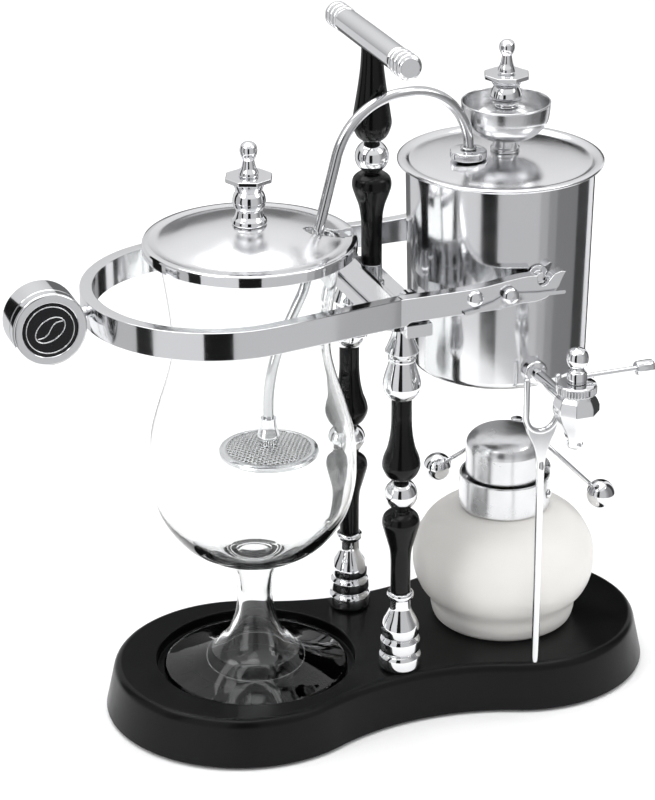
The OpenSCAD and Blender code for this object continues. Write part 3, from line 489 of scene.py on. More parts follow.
def base_piece():
    """Skirt and recess, joined by a flat top with a hole where the recess is."""
    b = Build()
    edge = []  # the rounded upper edge
    for t in [k / 10 for k in range(11)]:
        u = 1 - t
        edge.append((4.05 * u ** 2 + 4.75 * 2 * t * u + 8.4 * t * t,
                     20.4 * u ** 2 + BASE_TOP * (2 * t * u + t * t)))
    rings = skirt(b, [(9, FELT_H), (0.9, FELT_H), (0.3, FELT_H + 0.15), (0.15, FELT_H + 0.7)] + edge)
    b.face(tuple(rings[0]))
    prof = [(49.5, BASE_TOP), (49.05, BASE_TOP - 0.12), (48.85, BASE_TOP - 0.6), (48.8, BASE_TOP - 1.4),
            (48.8, 20), (48.6, 19.3), (48, 19), (30, 19), (0, 19)]
    first = len(b.v)
    b.lathe(prof, at(GLASS_X), RECESS_SEG)
    me = b.mesh("base_body")
    bm = bmesh.new()
    bm.from_mesh(me)
    bm.verts.ensure_lookup_table()
    outer = rings[-1]
    inner = list(range(first, first + RECESS_SEG))
    edges = []
    for loop in (outer, inner):
        for k in range(len(loop)):
            a, c = bm.verts[loop[k]], bm.verts[loop[(k + 1) % len(loop)]]
            edges.append(bm.edges.get((a, c)) or bm.edges.new((a, c)))
    bmesh.ops.triangle_fill(bm, use_beauty=True, use_dissolve=False, edges=edges, normal=(0, 0, 1))
    bmesh.ops.recalc_face_normals(bm, faces=bm.faces)
    bm.to_mesh(me)
    bm.free()
    me.materials.append(base_black)
    me.shade_smooth()
    o = placed("base_body", me)
    weigh_normals(o)
    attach(o, BODY["base"])
    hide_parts("base")


base_piece()
b = Build()
rings = skirt(b, [(3.1, 0.02), (2.6, 0.3), (2.5, 0.8), (2.5, FELT_H)])
b.face(tuple(rings[0]))
b.face(tuple(rings[-1]))
b.obj("felt_pad", felt, "base_felt", "felt")

# ---------------------------------------------------------------- columns
NECK, BALL_R = 3.4, 7.95
BALL_CUT, BALL_Z = math.sqrt(BALL_R ** 2 - NECK ** 2), 117.3
FOOT = [[[9.3, 24.5], [10.4, 26], [10.7, 28.7], [10.4, 31.4], [9.3, 33]],
        [[8.8, 33.2], [9.8, 34.7], [10, 37.2], [9.8, 39.7], [8.8, 41.4]],
        [[8.4, 41.6], [9.2, 43.2], [9.25, 46.5], [8.2, 50], [6.5, 53.3], [5.3, 56.3], [5.1, 59], [5.1, 61.4]],
        [[5.3, 61.8], [6.2, 62.4], [6.55, 63.7], [6.2, 65], [5.2, 65.5]]]
LOWER = [[[4.6, 65.5], [4.85, 66]],
         [[4.85, 66], [4.85, 74], [4.9, 82], [5.4, 88], [6.7, 93], [8.1, 98], [9.1, 102.4], [8.3, 105.9],
          [6, 108.2], [4.2, 109.2]], [[NECK, 109.2], [NECK, BALL_Z - BALL_CUT]]]
UPPER = [[[NECK, BALL_Z + BALL_CUT], [NECK, 125.3]],
         [[4.6, 125.3], [6.6, 126.9], [8, 129], [9.2, 132.6], [8.5, 137], [6.85, 141.5], [5.6, 147.5],
          [5, 154], [4.9, 160], [4.9, 167]]]
CAP = [[[5.1, 167], [6.9, 168.6], [8.5, 171.2], [9.05, 174.3], [8.5, 178], [7.2, 182.5], [6, 186.5]],
       [[6.6, 186.9], [6.6, 188.3]], [[6.3, 188.6], [7.1, 190], [8.05, 191.3]],
       [[8.05, 191.9], [6.5, 195.5], [5, 200], [4.7, 204.6]]]


def bead(r, cut):
    """A ball's profile, cut off where its neck has the radius that leaves cut as the half height."""
    t = math.degrees(math.asin(cut / r))
    return [arc((0, 0), r, -t, t, 40)]


for side, y in (("front", -COLUMN_Y), ("rear", COLUMN_Y)):
    Build().turned(FOOT, TIE_BORE, at(0, y)).obj(f"foot_turned_{side}", mirror, f"foot_{side}", "chrome")
    Build().turned(LOWER, TIE_BORE, at(0, y)).obj(f"spindle_low_{side}", black, f"lower_spindle_{side}",
                                                  "black")
    Build().turned(bead(BALL_R, BALL_CUT), TIE_BORE, at(0, y, BALL_Z), n=1).obj(
        f"ball_turned_{side}", mirror, f"ball_{side}", "chrome")
    Build().turned(UPPER, TIE_BORE, at(0, y)).obj(f"spindle_high_{side}", black, f"upper_spindle_{side}",
                                                  "black")
    Build().turned(CAP, TIE_BORE, at(0, y)).obj(f"cap_turned_{side}", mirror, f"cap_{side}", "chrome")

# ---------------------------------------------------------------- handle column
GRIP_X, GRIP_Y, GRIP_BALL_Z = 0, 5, 274.3
GRIP_BALL_R, BAR_Z = 8, 330.5
GRIP_CUT = math.sqrt(GRIP_BALL_R ** 2 - NECK ** 2)
grip = at(GRIP_X, GRIP_Y)
Build().turned([[[6.2, 210.5], [6.2, 211.7]], [[5.2, 212.3], [5.05, 220.6]], [[4.9, 221], [4.8, 221]]],
               GRIP_BORE, grip).obj("ferrule_turned", mirror, "handle_ferrule", "chrome")
Build().turned([[[4.9, 221], [4.95, 232], [5.1, 243], [6.1, 250], [7.9, 255.2], [9.3, 260], [8.7, 263.8],
                 [6.4, 266]], [[NECK + 0.6, 266.4], [NECK, GRIP_BALL_Z - GRIP_CUT]]], GRIP_BORE, grip).obj(
    "grip_spindle_low", black, "handle_spindle_lower", "black")
Build().turned(bead(GRIP_BALL_R, GRIP_CUT), GRIP_BORE, at(GRIP_X, GRIP_Y, GRIP_BALL_Z), n=1).obj(
    "grip_ball", mirror, "handle_ball", "chrome")
Build().turned([[[NECK, GRIP_BALL_Z + GRIP_CUT], [NECK + 0.4, 282.3]],
                [[4.6, 282.3], [7.3, 284.8], [9.2, 290], [8.7, 295.5], [7.5, 303], [6.3, 311], [5.4, 319],
                 [5, 327]]], GRIP_BORE, grip).obj("grip_spindle_high", black, "handle_spindle_upper", "black")
BAR_HALF = 47


def bar_ring(a, r=6.2):
    return [[5.1, a], [6, a + 0.7], [r, a + 1.8], [6, a + 2.9], [5.1, a + 3.6]]


Build().turned([[[0, -BAR_HALF], [4.6, -BAR_HALF]]] + [bar_ring(-BAR_HALF + 0.6 + i * 4.2) for i in range(3)]
               + [[[5.1, 13.6 - BAR_HALF], [5.8, 14.4 - BAR_HALF]],
                  [[5.8, 14.4 - BAR_HALF], [5.9, 0], [5.8, BAR_HALF - 14.4]],
                  [[5.8, BAR_HALF - 14.4], [5.1, BAR_HALF - 13.6]]]
               + [bar_ring(BAR_HALF - 4.2 - i * 4.2) for i in (2, 1, 0)] + [[[4.6, BAR_HALF], [0, BAR_HALF]]],
               0, along_y(GRIP_X, GRIP_Y, BAR_Z)).obj("cross_bar", polished, "handle_bar", "chrome")

# ---------------------------------------------------------------- fork
b = Build()
FORK_X, FORK_Y, FORK_Z = 63.5, -54, 156
b.lathe([(1.9, 12), (1.9, 128), (1.6, 132), (0, 134)], at(FORK_X, FORK_Y), 32)
side_r = smooth([(1.75, 122), (1.9, 130), (2.8, 136), (4.6, 142), (6.9, 147), (8.2, 152), (8.2, 156)], 5)
side_in = arc((0, FORK_Z), 6.9, 0, -180, 24)
b.prism([(-x, z) for x, z in side_r] + side_in[::-1] + side_r[::-1], -1.25, 1.25,
        along_y(FORK_X, FORK_Y, 0), 0.7)
b.tube([Vector((-8, 0, z)) for z in (19, 14, 8, 3)]
       + [Vector((8 * math.cos(math.radians(t)), 0, 8 * math.sin(math.radians(t)))) for t in range(180, 361, 6)]
       + [Vector((8, 0, z)) for z in (3, 8, 14, 19)],
       1.6, (0, 1, 0), at(FORK_X, FORK_Y, FORK_Z), 28)
b.obj("paddle_fork", polished, "fork", "chrome")

# ---------------------------------------------------------------- balance beam
BEAM_T, ARM_OUT, ARM_IN = 6.0, 52.3, 46.3
BEAM_Z0, BEAM_Z1, RING_X, RING_R = 210.8, 224.3, -79.7, 62.8
CREASE = (-8, ARM_OUT)
RING_ANG = math.degrees(math.atan2(CREASE[1], CREASE[0] - RING_X)
                        + math.acos(RING_R / math.hypot(CREASE[0] - RING_X, CREASE[1])))
b = Build()
mid_r = RING_R - BEAM_T / 2
hw, hh = BEAM_T / 2, (BEAM_Z1 - BEAM_Z0) / 2
section = fillet([(-hw, -hh), (hw, -hh), (hw, hh), (-hw, hh)], 0.45, loop=True)
ring_path = [Vector((-7.0, -49.14, 0))] + [
    Vector((RING_X + mid_r * math.cos(math.radians(t)), mid_r * math.sin(math.radians(t)), 0))
    for t in [-RING_ANG - k * (360 - 2 * RING_ANG) / 150 for k in range(151)]] + [Vector((-7.0, 49.14, 0))]
b.sweep(ring_path, section, (0, 0, 1), at(0, 0, (BEAM_Z0 + BEAM_Z1) / 2))
arm = ([(-8, BEAM_Z0), (-5.4, BEAM_Z0), (-4.6, 211.2), (-3.2, 212.4), (-2, 212.6), (42, 212.6), (52, 214),
        (60, 213.9), (65, 215), (69, 217.4), (71.6, 220.4), (73.5, 224.6), (75, 227), (72.6, 227.4),
        (69.4, 226.6), (67.9, 225.2)] + arc((BOILER_X, TRUNNION_Z), 2.9, -20, -180, 18) + [(60.6, 226.8)]
       + smooth([(58.5, 227), (52, 226.9), (44, 226), (34, 224.8), (24, 224.3)], 5) + [(-8, BEAM_Z1)])
for s in (1, -1):
    b.prism(arm, ARM_IN * s, ARM_OUT * s, along_y(0, 0, 0), 0.4)
b.prism([(-10.4, -46.8), (-8.2, -46.8), (-8.2, 46.8), (-10.4, 46.8)], BEAM_Z0 + 0.1, BEAM_Z1 - 0.1, None, 0.3)
b.obj("beam_body", polished, "beam", "chrome")

DRUM_X, DRUM_Z, DRUM_Y = -163, 218, -15
DRUM_R, DRUM_L = 17.4, 20
b = Build()
b.lathe(fillet([(0, 1.2), (12.9, 1.2), (13, 0.3), (13.3, 0)] + arc((DRUM_R - 1.2, 1.2), 1.2, -90, 0, 8)[1:]
               + [(DRUM_R, 5.2), (DRUM_R - 0.25, 5.45), (DRUM_R - 0.25, 5.85), (DRUM_R, 6.1)]
               + arc((DRUM_R - 1.5, DRUM_L - 1.5), 1.5, 0, 90, 8)
               + [(12, DRUM_L), (11.6, DRUM_L - 0.3), (0, DRUM_L - 0.3)], 0.12),
        along_y(DRUM_X, DRUM_Y, DRUM_Z), 160)
b.obj("counterweight", mirror, "drum", "chrome")
b = Build()
b.lathe(fillet([(0, 1.1), (12.7, 1.1), (12.8, 1.0), (12.8, 0.7),
                (12.6, 0.5), (12.0, 0.46), (0, 0.46)][::-1], 0.1),
        along_y(DRUM_X, DRUM_Y, DRUM_Z), 128)
b.slot_now = 1
bean = along_y(DRUM_X, DRUM_Y + 0.46, DRUM_Z) @ turn_z(32)
ring = [Vector((11.2 * math.cos(t), 11.2 * math.sin(t), 0))
        for t in [2 * math.pi * k / 96 for k in range(97)]]
b.tube(ring, 0.28, (0, 0, 1), bean, 10, False)
half = [Vector((7.6 * math.cos(t), 5.1 * math.sin(t), 0))
        for t in [2 * math.pi * k / 64 for k in range(65)]]
b.tube(half, 0.32, (0, 0, 1), bean, 10, False)
b.tube([Vector((x, 1.25 * math.sin(x * math.pi / 7.0), 0))
        for x in [-6.9 + 13.8 * k / 40 for k in range(41)]],
       0.32, (0, 0, 1), bean, 10)
b.obj("bean_badge", [badge_black, polished], "drum_badge", "black")
Build().lathe([(3.0, -5), (3.0, 2.4), (3.6, 2.6), (3.6, 3.0), (3.0, 3.2), (3.0, 7.6)],
              along_x(DRUM_X + DRUM_R, 0, DRUM_Z), 48).obj("weight_stud", mirror, "drum_stud", "chrome")


def dome(b, m, h):
    """Domed screw head, on a shank, standing h above the surface."""
    b.lathe(fillet([(1.8, -4.2), (1.8, h), (3.8, h), (4, h + 0.4)]
                   + smooth([(4, h + 0.4), (3.5, h + 1.3), (2.1, h + 2), (0, h + 2.25)], 6)[1:], 0.15), m, 64)


b = Build()
for s in (1, -1):
    dome(b, along_y(29, s * ARM_OUT, 219.7, s), 0)
    dome(b, along_y(46, s * ARM_OUT, 219.4, s), 1.9)
b.obj("beam_screws", mirror, "arm_screws", "chrome")

# ---------------------------------------------------------------- boiler
BOILER_R, BOILER_WALL = 45.0, 1.0
pot = at(BOILER_X)
b = Build()
b.lathe(fillet([(0, 165)] + arc((BOILER_R - 6, 169), 4, -90, 0, 10)
               + [(BOILER_R, 262), (BOILER_R, 265.8), (BOILER_R - 0.2, 266), (BOILER_R - 0.8, 266),
                  (BOILER_R - BOILER_WALL, 265.8), (BOILER_R - BOILER_WALL, 262)]
               + arc((BOILER_R - 6, 169), 3, 0, -90, 8) + [(0, 166)], 0.2), pot, 192)
b.obj("boiler_pot", boiler_mat, "boiler", "chrome")
Build().shell(
    [[[0, 268.8], [12, 268.7], [24, 268.2], [36, 267.1], [42.4, 266]], [[42.4, 266], [42.4, 262.6]],
     [[43.7, 262.6], [43.7, 266]],
     [[46, 266], [48.4, 266.1], [49.1, 266.8], [48.9, 267.6], [47.6, 268.1], [45.6, 268], [44.4, 267.6],
      [43.4, 267]]],
    [[[43.4, 267], [42, 267.15], [36, 268.15], [24, 269.2], [12, 269.7], [0, 269.8]]], pot, 192).obj(
        "boiler_cover", boiler_lid_mat, "boiler_lid", "chrome")
CUP_X, CUP_Y = 67, 3
Build().shell(
    [[[5, 262], [5, 269.9]], [[7, 269.9], [7, 271.5]], [[6, 272.2], [5.6, 276.2]],
     [[5.6, 276.2], [9, 276.6], [14, 278.2], [18, 281.6], [20.2, 285.6], [20.9, 290], [21.1, 293.4]],
     [[21.1, 293.4], [21.3, 293.9], [21, 294.3], [20.6, 294.2], [20.3, 293.4]]],
    [[[20.3, 293.4], [20.1, 290], [19.4, 286], [17.3, 282.3], [13.5, 279.2], [9, 277.5]],
     [[9, 277.5], [4, 277.5]], [[4, 277.5], [4, 262]]], at(CUP_X, CUP_Y)).obj(
        "filler_bowl", steel, "filler_cup", "steel")
b = Build().turned(
    [[[3.2, 268], [3.7, 268.6]], [[3.7, 268.6], [3.7, 279.1]], [[8.2, 279.1], [8.2, 280.6]],
     [[5.4, 281.4], [4.6, 284], [4.6, 288], [5.2, 290.4]], [[5.6, 290.6], [5.6, 292.2]],
     [[4.9, 292.6], [6.6, 294], [7.5, 296.4], [7.1, 299], [6, 301.6]],
     [[6, 301.6], [6.8, 303.2], [7.4, 305.6]], [[3.9, 305.9], [3.9, 308.6]],
     [[4.2, 308.8], [3.9, 310.2], [2.9, 313], [2.25, 316.6]],
     [[2.25, 316.6], [3.2, 318.2], [3.75, 320.4], [3.2, 322.6], [1.6, 323.8], [0, 324]]], 0, at(CUP_X, CUP_Y))


def octagon(r):
    return [(r * math.cos(math.radians(45 * k)), r * math.sin(math.radians(45 * k))) for k in range(8)]


b.prism(octagon(11.2), 305.6, 307.8, at(CUP_X, CUP_Y), 0.45)
b.obj("filler_stopper_turned", mirror, "filler_plug", "chrome")
Build().lathe(fillet([(3.8, 277.6), (8, 277.6), (8, 279.1), (3.8, 279.1)], 0.4, loop=True), at(CUP_X, CUP_Y),
              64, loop=True).obj("seal_ring", silicone, "filler_seal", "silicone")


def knurl(lo, hi, count, depth):
    """Notches round a turned edge, between the heights lo and hi."""
    def mod(r, z, t):
        if lo <= z <= hi:
            return r - depth * (0.5 - 0.5 * math.cos(count * t))
        return r
    return mod


NUT_X, NUT_Y = 46, -2
Build().lathe([(2.55, 270.1), (8, 270.1), (8.4, 270.3), (8.7, 270.75), (8.75, 270.95), (8.75, 273.35),
               (8.7, 273.6), (8.4, 273.95), (8.2, 274.1), (4.4, 274.4), (2.55, 274.4)], at(NUT_X, NUT_Y), 288,
              knurl(270.9, 273.4, 48, 0.55)).obj("tube_nut_knurled", mirror, "tube_nut", "chrome")
b = Build()
for s in (1, -1):
    b.lathe(fillet([(5, 2.6), (5, 3.9), (2.6, 3.9), (2.6, 7.5), (0, 7.5)], 0.3),
            along_y(BOILER_X, s * 42, TRUNNION_Z, s), 64)
b.obj("trunnion_pins", mirror, "trunnions", "chrome")

# ---------------------------------------------------------------- siphon tube
pts = [(0.0, 170.0, 0.0), (0.0, 275.0, 0.0)]  # distance from the nut, height, degrees from upright


def run(length):
    """Goes on straight."""
    x, z, a = pts[-1]
    t = math.radians(a)
    pts.append((x + length * math.sin(t), z + length * math.cos(t), a))


def bend(r, to, n):
    """Goes round an arc of radius r until it points in the direction to."""
    x, z, a = pts[-1]
    g = 1 if to > a else -1
    for i in range(1, n + 1):
        c = a + (to - a) * i / n
        ca, cc = math.radians(a), math.radians(c)
        pts.append((x + g * r * (math.cos(ca) - math.cos(cc)), z + g * r * (math.sin(cc) - math.sin(ca)), c))


bend(32, 90, 32)
run(4)
bend(35, 164.5, 28)
run(61.6)
bend(25, 152, 10)
run(18)
bend(80, 180, 20)
FILTER_U, FILTER_Z = pts[-1][0], 141.1
pts.append((FILTER_U, FILTER_Z + 1.5, 180))
tube_m = at(NUT_X, NUT_Y) @ turn_z(186.5)
b = Build().tube([Vector((x, 0, z)) for x, z, _ in pts], 2.5, (0, 1, 0), tube_m, 36, False)
b.lathe(fillet([(2.4, 274.55), (3.2, 274.55), (3.9, 274.9), (3.9, 275.45), (3.2, 275.75), (2.4, 275.75)],
               0.2),
        at(NUT_X, NUT_Y), 64)
b.obj("siphon_pipe", pipe_mat, "siphon_tube", "steel")
filter_m = at(*(tube_m @ Vector((FILTER_U, 0, 0)))[:2])
Build().turned(
    [[[r, FILTER_Z + z] for r, z in ((4.25, 3.5), (4.6, 5.5), (5.3, 7.8), (4.8, 10), (4, 13), (3.75, 17.2))]],
    2.5, filter_m).obj("filter_collar", polished, "filter_ferrule", "chrome")
FILTER_R, SOLID_R, CLOTH = 23.3, 4.2, 0.14  # radii of disc and plain centre, half the cloth


def perforated(prof, m, pitch=2.15, hole=0.70):
    """A dished sheet with round holes in a staggered pattern."""
    def height(r):
        for (r0, z0), (r1, z1) in zip(prof, prof[1:]):
            if (r0 - r) * (r1 - r) <= 0 and r0 != r1:
                return z0 + (z1 - z0) * (r - r0) / (r1 - r0)
        return prof[-1][1]
    b = Build()
    corner = {}

    def vert(x, y, key=None):
        if key is not None and key in corner:
            return corner[key]
        b.v.append(m @ Vector((x, y, height(math.hypot(x, y)))))
        if key is not None:
            corner[key] = len(b.v) - 1
        return len(b.v) - 1
    rh = pitch * math.sqrt(3) / 2
    side = pitch / math.sqrt(3)
    rows = range(-14, 15)
    for j in rows:
        for i in rows:
            x, y = (i + 0.5 * (j % 2)) * pitch, j * rh
            d = math.hypot(x, y)
            if d > FILTER_R - 1.9:
                continue
            hexa = []
            for k in range(6):
                t = math.radians(60 * k + 30)
                hx, hy = x + side * math.cos(t), y + side * math.sin(t)
                hexa.append(vert(hx, hy, (round(hx, 2), round(hy, 2))))
            if d < SOLID_R:
                b.face(tuple(hexa))
                continue
            mids = []
            for k in range(6):
                a, c = b.v[hexa[k]], b.v[hexa[(k + 1) % 6]]
                key = tuple(sorted((hexa[k], hexa[(k + 1) % 6])))
                if key not in corner:
                    b.v.append((a + c) / 2)
                    corner[key] = len(b.v) - 1
                mids.append(corner[key])
            outer = [q for k in range(6) for q in (hexa[k], mids[k])]
            inner = []
            for k in range(12):
                t = math.radians(30 * k + 30)
                inner.append(vert(x + hole * math.cos(t), y + hole * math.sin(t)))
            for k in range(12):
                n2 = (k + 1) % 12
                b.face((outer[k], outer[n2], inner[n2], inner[k]))
    low = -0.02 if prof[0][1] < prof[-1][1] else 0.02
    b.lathe([(FILTER_R - e, height(FILTER_R - e) + low) for e in (3.3, 1.6, 0.5)]
            + [(FILTER_R - 0.12, height(FILTER_R - 0.12)), (FILTER_R, prof[0][1] * 0.4),
               (FILTER_R - 0.3, 0.1 * (1 if low < 0 else -1))], m, 160)
    return b


top_prof = smooth([(FILTER_R - 0.1, 0.65), (16, 2.3), (9, 3.2), (2.6, 3.5)], 8)
low_prof = smooth([(FILTER_R - 0.1, -0.65), (16, -2.6), (9, -3.7), (0, -4.1)], 8)
for prof, name, node, push in ((top_prof, "filter_disc_top", "filter_top", -1),
                               (low_prof, "filter_disc_low", "filter_bottom", 1)):
    o = perforated(prof, filter_m @ at(0, 0, FILTER_Z)).obj(
        name, polished, node, "steel", recalc=False, flat=True)
    sol = o.modifiers.new("sheet", "SOLIDIFY")
    sol.thickness = 0.28 * MM
    sol.offset = push
    sol.use_even_offset = False


def ripple(r, z, t):
    """Uneven edge of the cut cloth."""
    return r - 0.25 * (0.5 + 0.5 * math.sin(19 * t)) - 0.15 * (0.5 + 0.5 * math.sin(31 * t + 1))


Build().lathe([(0, FILTER_Z - CLOTH), (20, FILTER_Z - CLOTH), (FILTER_R - 0.25, FILTER_Z - CLOTH),
               (FILTER_R - 0.1, FILTER_Z), (FILTER_R - 0.25, FILTER_Z + CLOTH), (20, FILTER_Z + CLOTH),
               (0, FILTER_Z + CLOTH)], filter_m, 192, ripple).obj(
    "filter_felt", cotton, "filter_cloth", "cloth")

# ---------------------------------------------------------------- tap
TAP_X, TAP_Y, TAP_Z = 63.5, -91, 175
b = Build()
b.lathe([(2.9, 41), (2.9, 83.5)], along_y(TAP_X, 0, TAP_Z, -1), 48)
b.lathe(fillet([(6, 42.2), (6, 46.6), (5.2, 47.4), (2.9, 47.6)], 0.4), along_y(TAP_X, 0, TAP_Z, -1), 64)
b.obj("tap_spout_pipe", mirror, "tap_pipe", "chrome")


def facets(r, z, t):
    """Eight flats in place of the round, faded out towards both ends."""
    d = ((math.degrees(t) + 22.5) % 45) - 22.5
    k = math.cos(math.radians(22.5)) / math.cos(math.radians(d))
    f = max(0.0, min(1.0, (z - 158) / 3)) * max(0.0, min(1.0, (183.5 - z) / 1.5))
    return r * (1 + (k - 1) * f)


b = Build().turned([[[3.1, 155.7], [3.9, 156.6]], [[3.9, 156.6], [4.3, 160], [5.8, 164], [8.6, 169],
                                                   [10.9, 174.4]],
                    [[10.9, 174.4], [10.9, 177.4]], [[10.9, 177.4], [9.6, 180.4], [7.6, 182.9]]], 2,
                    at(TAP_X, TAP_Y), 192,
                   facets, 0.25)
b.obj("tap_faceted", mirror, "tap_body", "chrome")
Build().lathe(fillet([(3.1, 183), (8.7, 183), (9.2, 183.4), (9.5, 183.9), (9.5, 187.1), (9.2, 187.6),
                      (8.6, 188), (5.4, 188.2), (3.1, 188.2)], 0.1), at(TAP_X, TAP_Y), 320,
                      knurl(183.85, 187.15, 40, 0.7)).obj(
    "tap_knurled_nut", mirror, "tap_bonnet", "chrome")
Build().turned([[[2.6, 178.2], [3.05, 178.8]], [[3.05, 178.8], [3.05, 188.5]],
                [[4.6, 188.5], [4.7, 191], [4.4, 193.4], [3.4, 194.4], [2.9, 195.2]],
                [[2.9, 195.2], [4.4, 197], [5.2, 200.2], [4.4, 203.4], [2.4, 204.9], [0, 205.4]]], 0,
               at(TAP_X, TAP_Y)).obj("tap_spindle", mirror, "tap_stem", "chrome")
Build().turned([[[1.3, 0], [1.3, 27.4]],
                [[2.4, 27.6], [3.2, 28.4], [3.4, 32], [3.2, 35.8], [2.2, 36.8], [0, 37]]], 0,
               along_x(TAP_X + 1.9, TAP_Y, 190.6), 64).obj("tap_handle_rod", mirror, "tap_lever", "chrome")

# ---------------------------------------------------------------- glass vessel
GLASS_WALL = 2.0
glass_m = at(GLASS_X)
b = Build().shell(
    [[[21.5, 19], [44.2, 19]], [[44.2, 19], [45, 19.8], [45.1, 20.8], [44.2, 21.9]],
     [[44.2, 21.9], [36, 24], [27, 27.4], [19.5, 32], [13.4, 39.5], [9.8, 49], [8.5, 59], [9.3, 69],
      [12, 77], [17.5, 81.2], [26, 84.6], [36, 92], [45, 105], [48.9, 119], [49.5, 132], [48.6, 144],
      [46, 155], [40.4, 173], [37.8, 184], [37.3, 194], [38, 205], [39.5, 217], [41.4, 230], [42.6, 240]],
     [[42.6, 240], [42.5, 241.4], [41.8, 242], [41.1, 241.4], [42.6 - GLASS_WALL, 240]]],
    [[[r - GLASS_WALL, z] for r, z in (
        (42.6, 240), (41.4, 230), (39.5, 217), (38, 205), (37.3, 194), (37.8, 184), (40.4, 173), (46, 155),
        (48.6, 144), (49.5, 132), (48.9, 119))]
     + [[43.2, 106.2], [34.4, 94.2], [25.4, 87.4], [18, 84.1], [10, 82.3], [0, 81.6]],
     [[0, 79.2], [6, 78.8], [9.4, 77]],
     [[9.4, 77], [7.9, 72.5], [6.7, 66], [6.3, 59], [7.2, 50], [9.4, 42.5], [13.2, 35.5], [18.5, 30.2],
      [21, 28.4]]], glass_m, 160, 0.2, 6)
for i, f in enumerate(b.f):  # the ring that the foot stands on is ground
    if all(b.v[k].z < 19.05 for k in f):
        b.m[i] = 1
b.obj("glass_bowl", [glass, ground], "glass_vessel", "clear_glass")

b = Build().shell(
    [[[0, 249.8], [8, 249.7], [18, 248.7], [30, 246.1], [39, 243.1], [42, 242.3]],
     [[42, 242.3], [45.6, 242.3]], [[48.2, 242.2], [48.8, 241.6]], [[48.8, 241.6], [48.8, 238.2]],
     [[50, 238.2], [50, 242.4]], [[50, 242.4], [49.3, 243.5], [47.4, 243.8]]],
    [[[47.4, 243.8], [45, 243.5], [43, 243.5], [40, 244.3], [30, 247.4], [18, 249.9], [8, 250.9], [0, 251]]],
    glass_m, 192)
for i, f in enumerate(b.f):
    z = sum(b.v[k].z for k in f) / len(f)
    r = sum(math.hypot(b.v[k].x - GLASS_X, b.v[k].y) for k in f) / len(f)
    if r > 47 and z < 243.9:  # the polished rim
        b.m[i] = 1
lid = b.obj("vessel_cover", [glass_lid_mat, mirror], "glass_lid", "chrome")
c = Build()  # the slot in which the siphon tube moves
SLOT_W, SLOT_END = 9.0, 81.5
cut_poly = ([(20, -SLOT_W / 2), (SLOT_END, -SLOT_W / 2)]
            + arc((SLOT_END, 0), SLOT_W / 2, -90, 90, 24)[1:-1] + [(SLOT_END, SLOT_W / 2), (20, SLOT_W / 2)])
c.prism(cut_poly, 230, 262, tube_m, 0)
me = c.mesh("cutter")
turn_outwards(me)
cutter = placed("cutter", me)
bo = lid.modifiers.new("slot", "BOOLEAN")
bo.object, bo.operation, bo.solver = cutter, "DIFFERENCE", "EXACT"
lid.modifiers.move(1, 0)
bpy.context.view_layer.update()
cut_mesh = bpy.data.meshes.new_from_object(lid.evaluated_get(bpy.context.evaluated_depsgraph_get()))
lid.modifiers.clear()
lid.data = cut_mesh
bpy.data.objects.remove(cutter)

b = Build().turned(
    [[[2, 250.6], [2, 251.1]], [[8, 251.1], [8.3, 252], [8, 253.4]], [[8, 253.4], [6.6, 255.4], [6.1, 257.8]],
     [[6.1, 257.8], [7.2, 259.4], [7.75, 262.3], [7.2, 265], [6.1, 267]],
     [[6.1, 267], [6.9, 269.4], [7.6, 272]], [[4, 272.2], [4, 274.4]],
     [[4.6, 274.6], [4.5, 275.8], [3.3, 278.6], [2.6, 281.8]],
     [[2.6, 281.8], [3.5, 283.8], [4.1, 286.4], [3.5, 288.9], [1.8, 290.3], [0, 290.6]]], 0, glass_m)
b.prism(octagon(11.5), 272, 274.2, glass_m, 0.45)
b.obj("vessel_knob", mirror, "glass_knob", "chrome")

# ---------------------------------------------------------------- burner
BURNER_X, HINGE_DIR = 69.5, 47.5
burner_m = at(BURNER_X)
hinge_m = burner_m @ turn_z(HINGE_DIR)
Build().shell(
    [[[0, 25.6], [29, 25.6]], [[29, 25.6], [30.4, 24.5]], [[30.4, 24.5], [33, 24.5]],
     [[33, 24.5], [34.8, 26.2], [36, 30], [36.6, 34.5], [38.2, 37.8], [41.9, 42.6], [44.6, 49.5], [45.4, 57],
      [44.2, 66], [38.6, 76], [31, 82], [25.4, 84.6], [21.2, 85.5]], [[21.2, 85.5], [21.2, 97.4]]],
    [[[18.7, 97.4], [18.7, 86]],
     [[18.7, 86], [25.6, 82], [30, 79.6], [36.7, 74], [41.7, 65], [43, 57], [42.1, 50], [39.6, 44.4],
      [35.8, 39.4], [34, 35], [33.2, 30.5], [30, 28.1]], [[30, 28.1], [0, 28.1]]], burner_m, 160).obj(
    "frosted_bottle", frost, "burner_bottle", "frosted_glass")
b = Build().lathe(fillet([(21.5, 85.6), (22.2, 85.6), (22.6, 86.2), (22.6, 101.9), (22.4, 102.6),
                          (21.5, 102.6), (21.5, 99), (6.2, 99), (6.2, 97.4), (21.5, 97.4)], 0.25, loop=True),
                  burner_m, 160, loop=True)
for s in (1, -1):
    ear = [(21.8, 93), (22.4, 92.4), (27.9, 98)] + arc((HINGE_R, HINGE_Z), 2.6, -15, 90, 10) + [(21.8, 101.6)]
    b.prism(ear, s * 5.6, s * 7.4, hinge_m @ along_y(0, 0, 0), 0.3)
b.obj("collar_ring", satin, "burner_collar", "chrome")
b = Build()
for s in (1, -1):
    m = burner_m @ turn_z(HINGE_DIR + s * 90) @ along_x(21.45, 0, 93.8)
    b.lathe(fillet([(1.1, 0), (1.1, 1.2), (2.3, 1.2)]
                   + smooth([(2.3, 1.2), (2.1, 1.9), (1.2, 2.5), (0, 2.7)], 6)[1:], 0.1), m, 48)
b.obj("rivet_heads", mirror, "collar_rivets", "chrome")
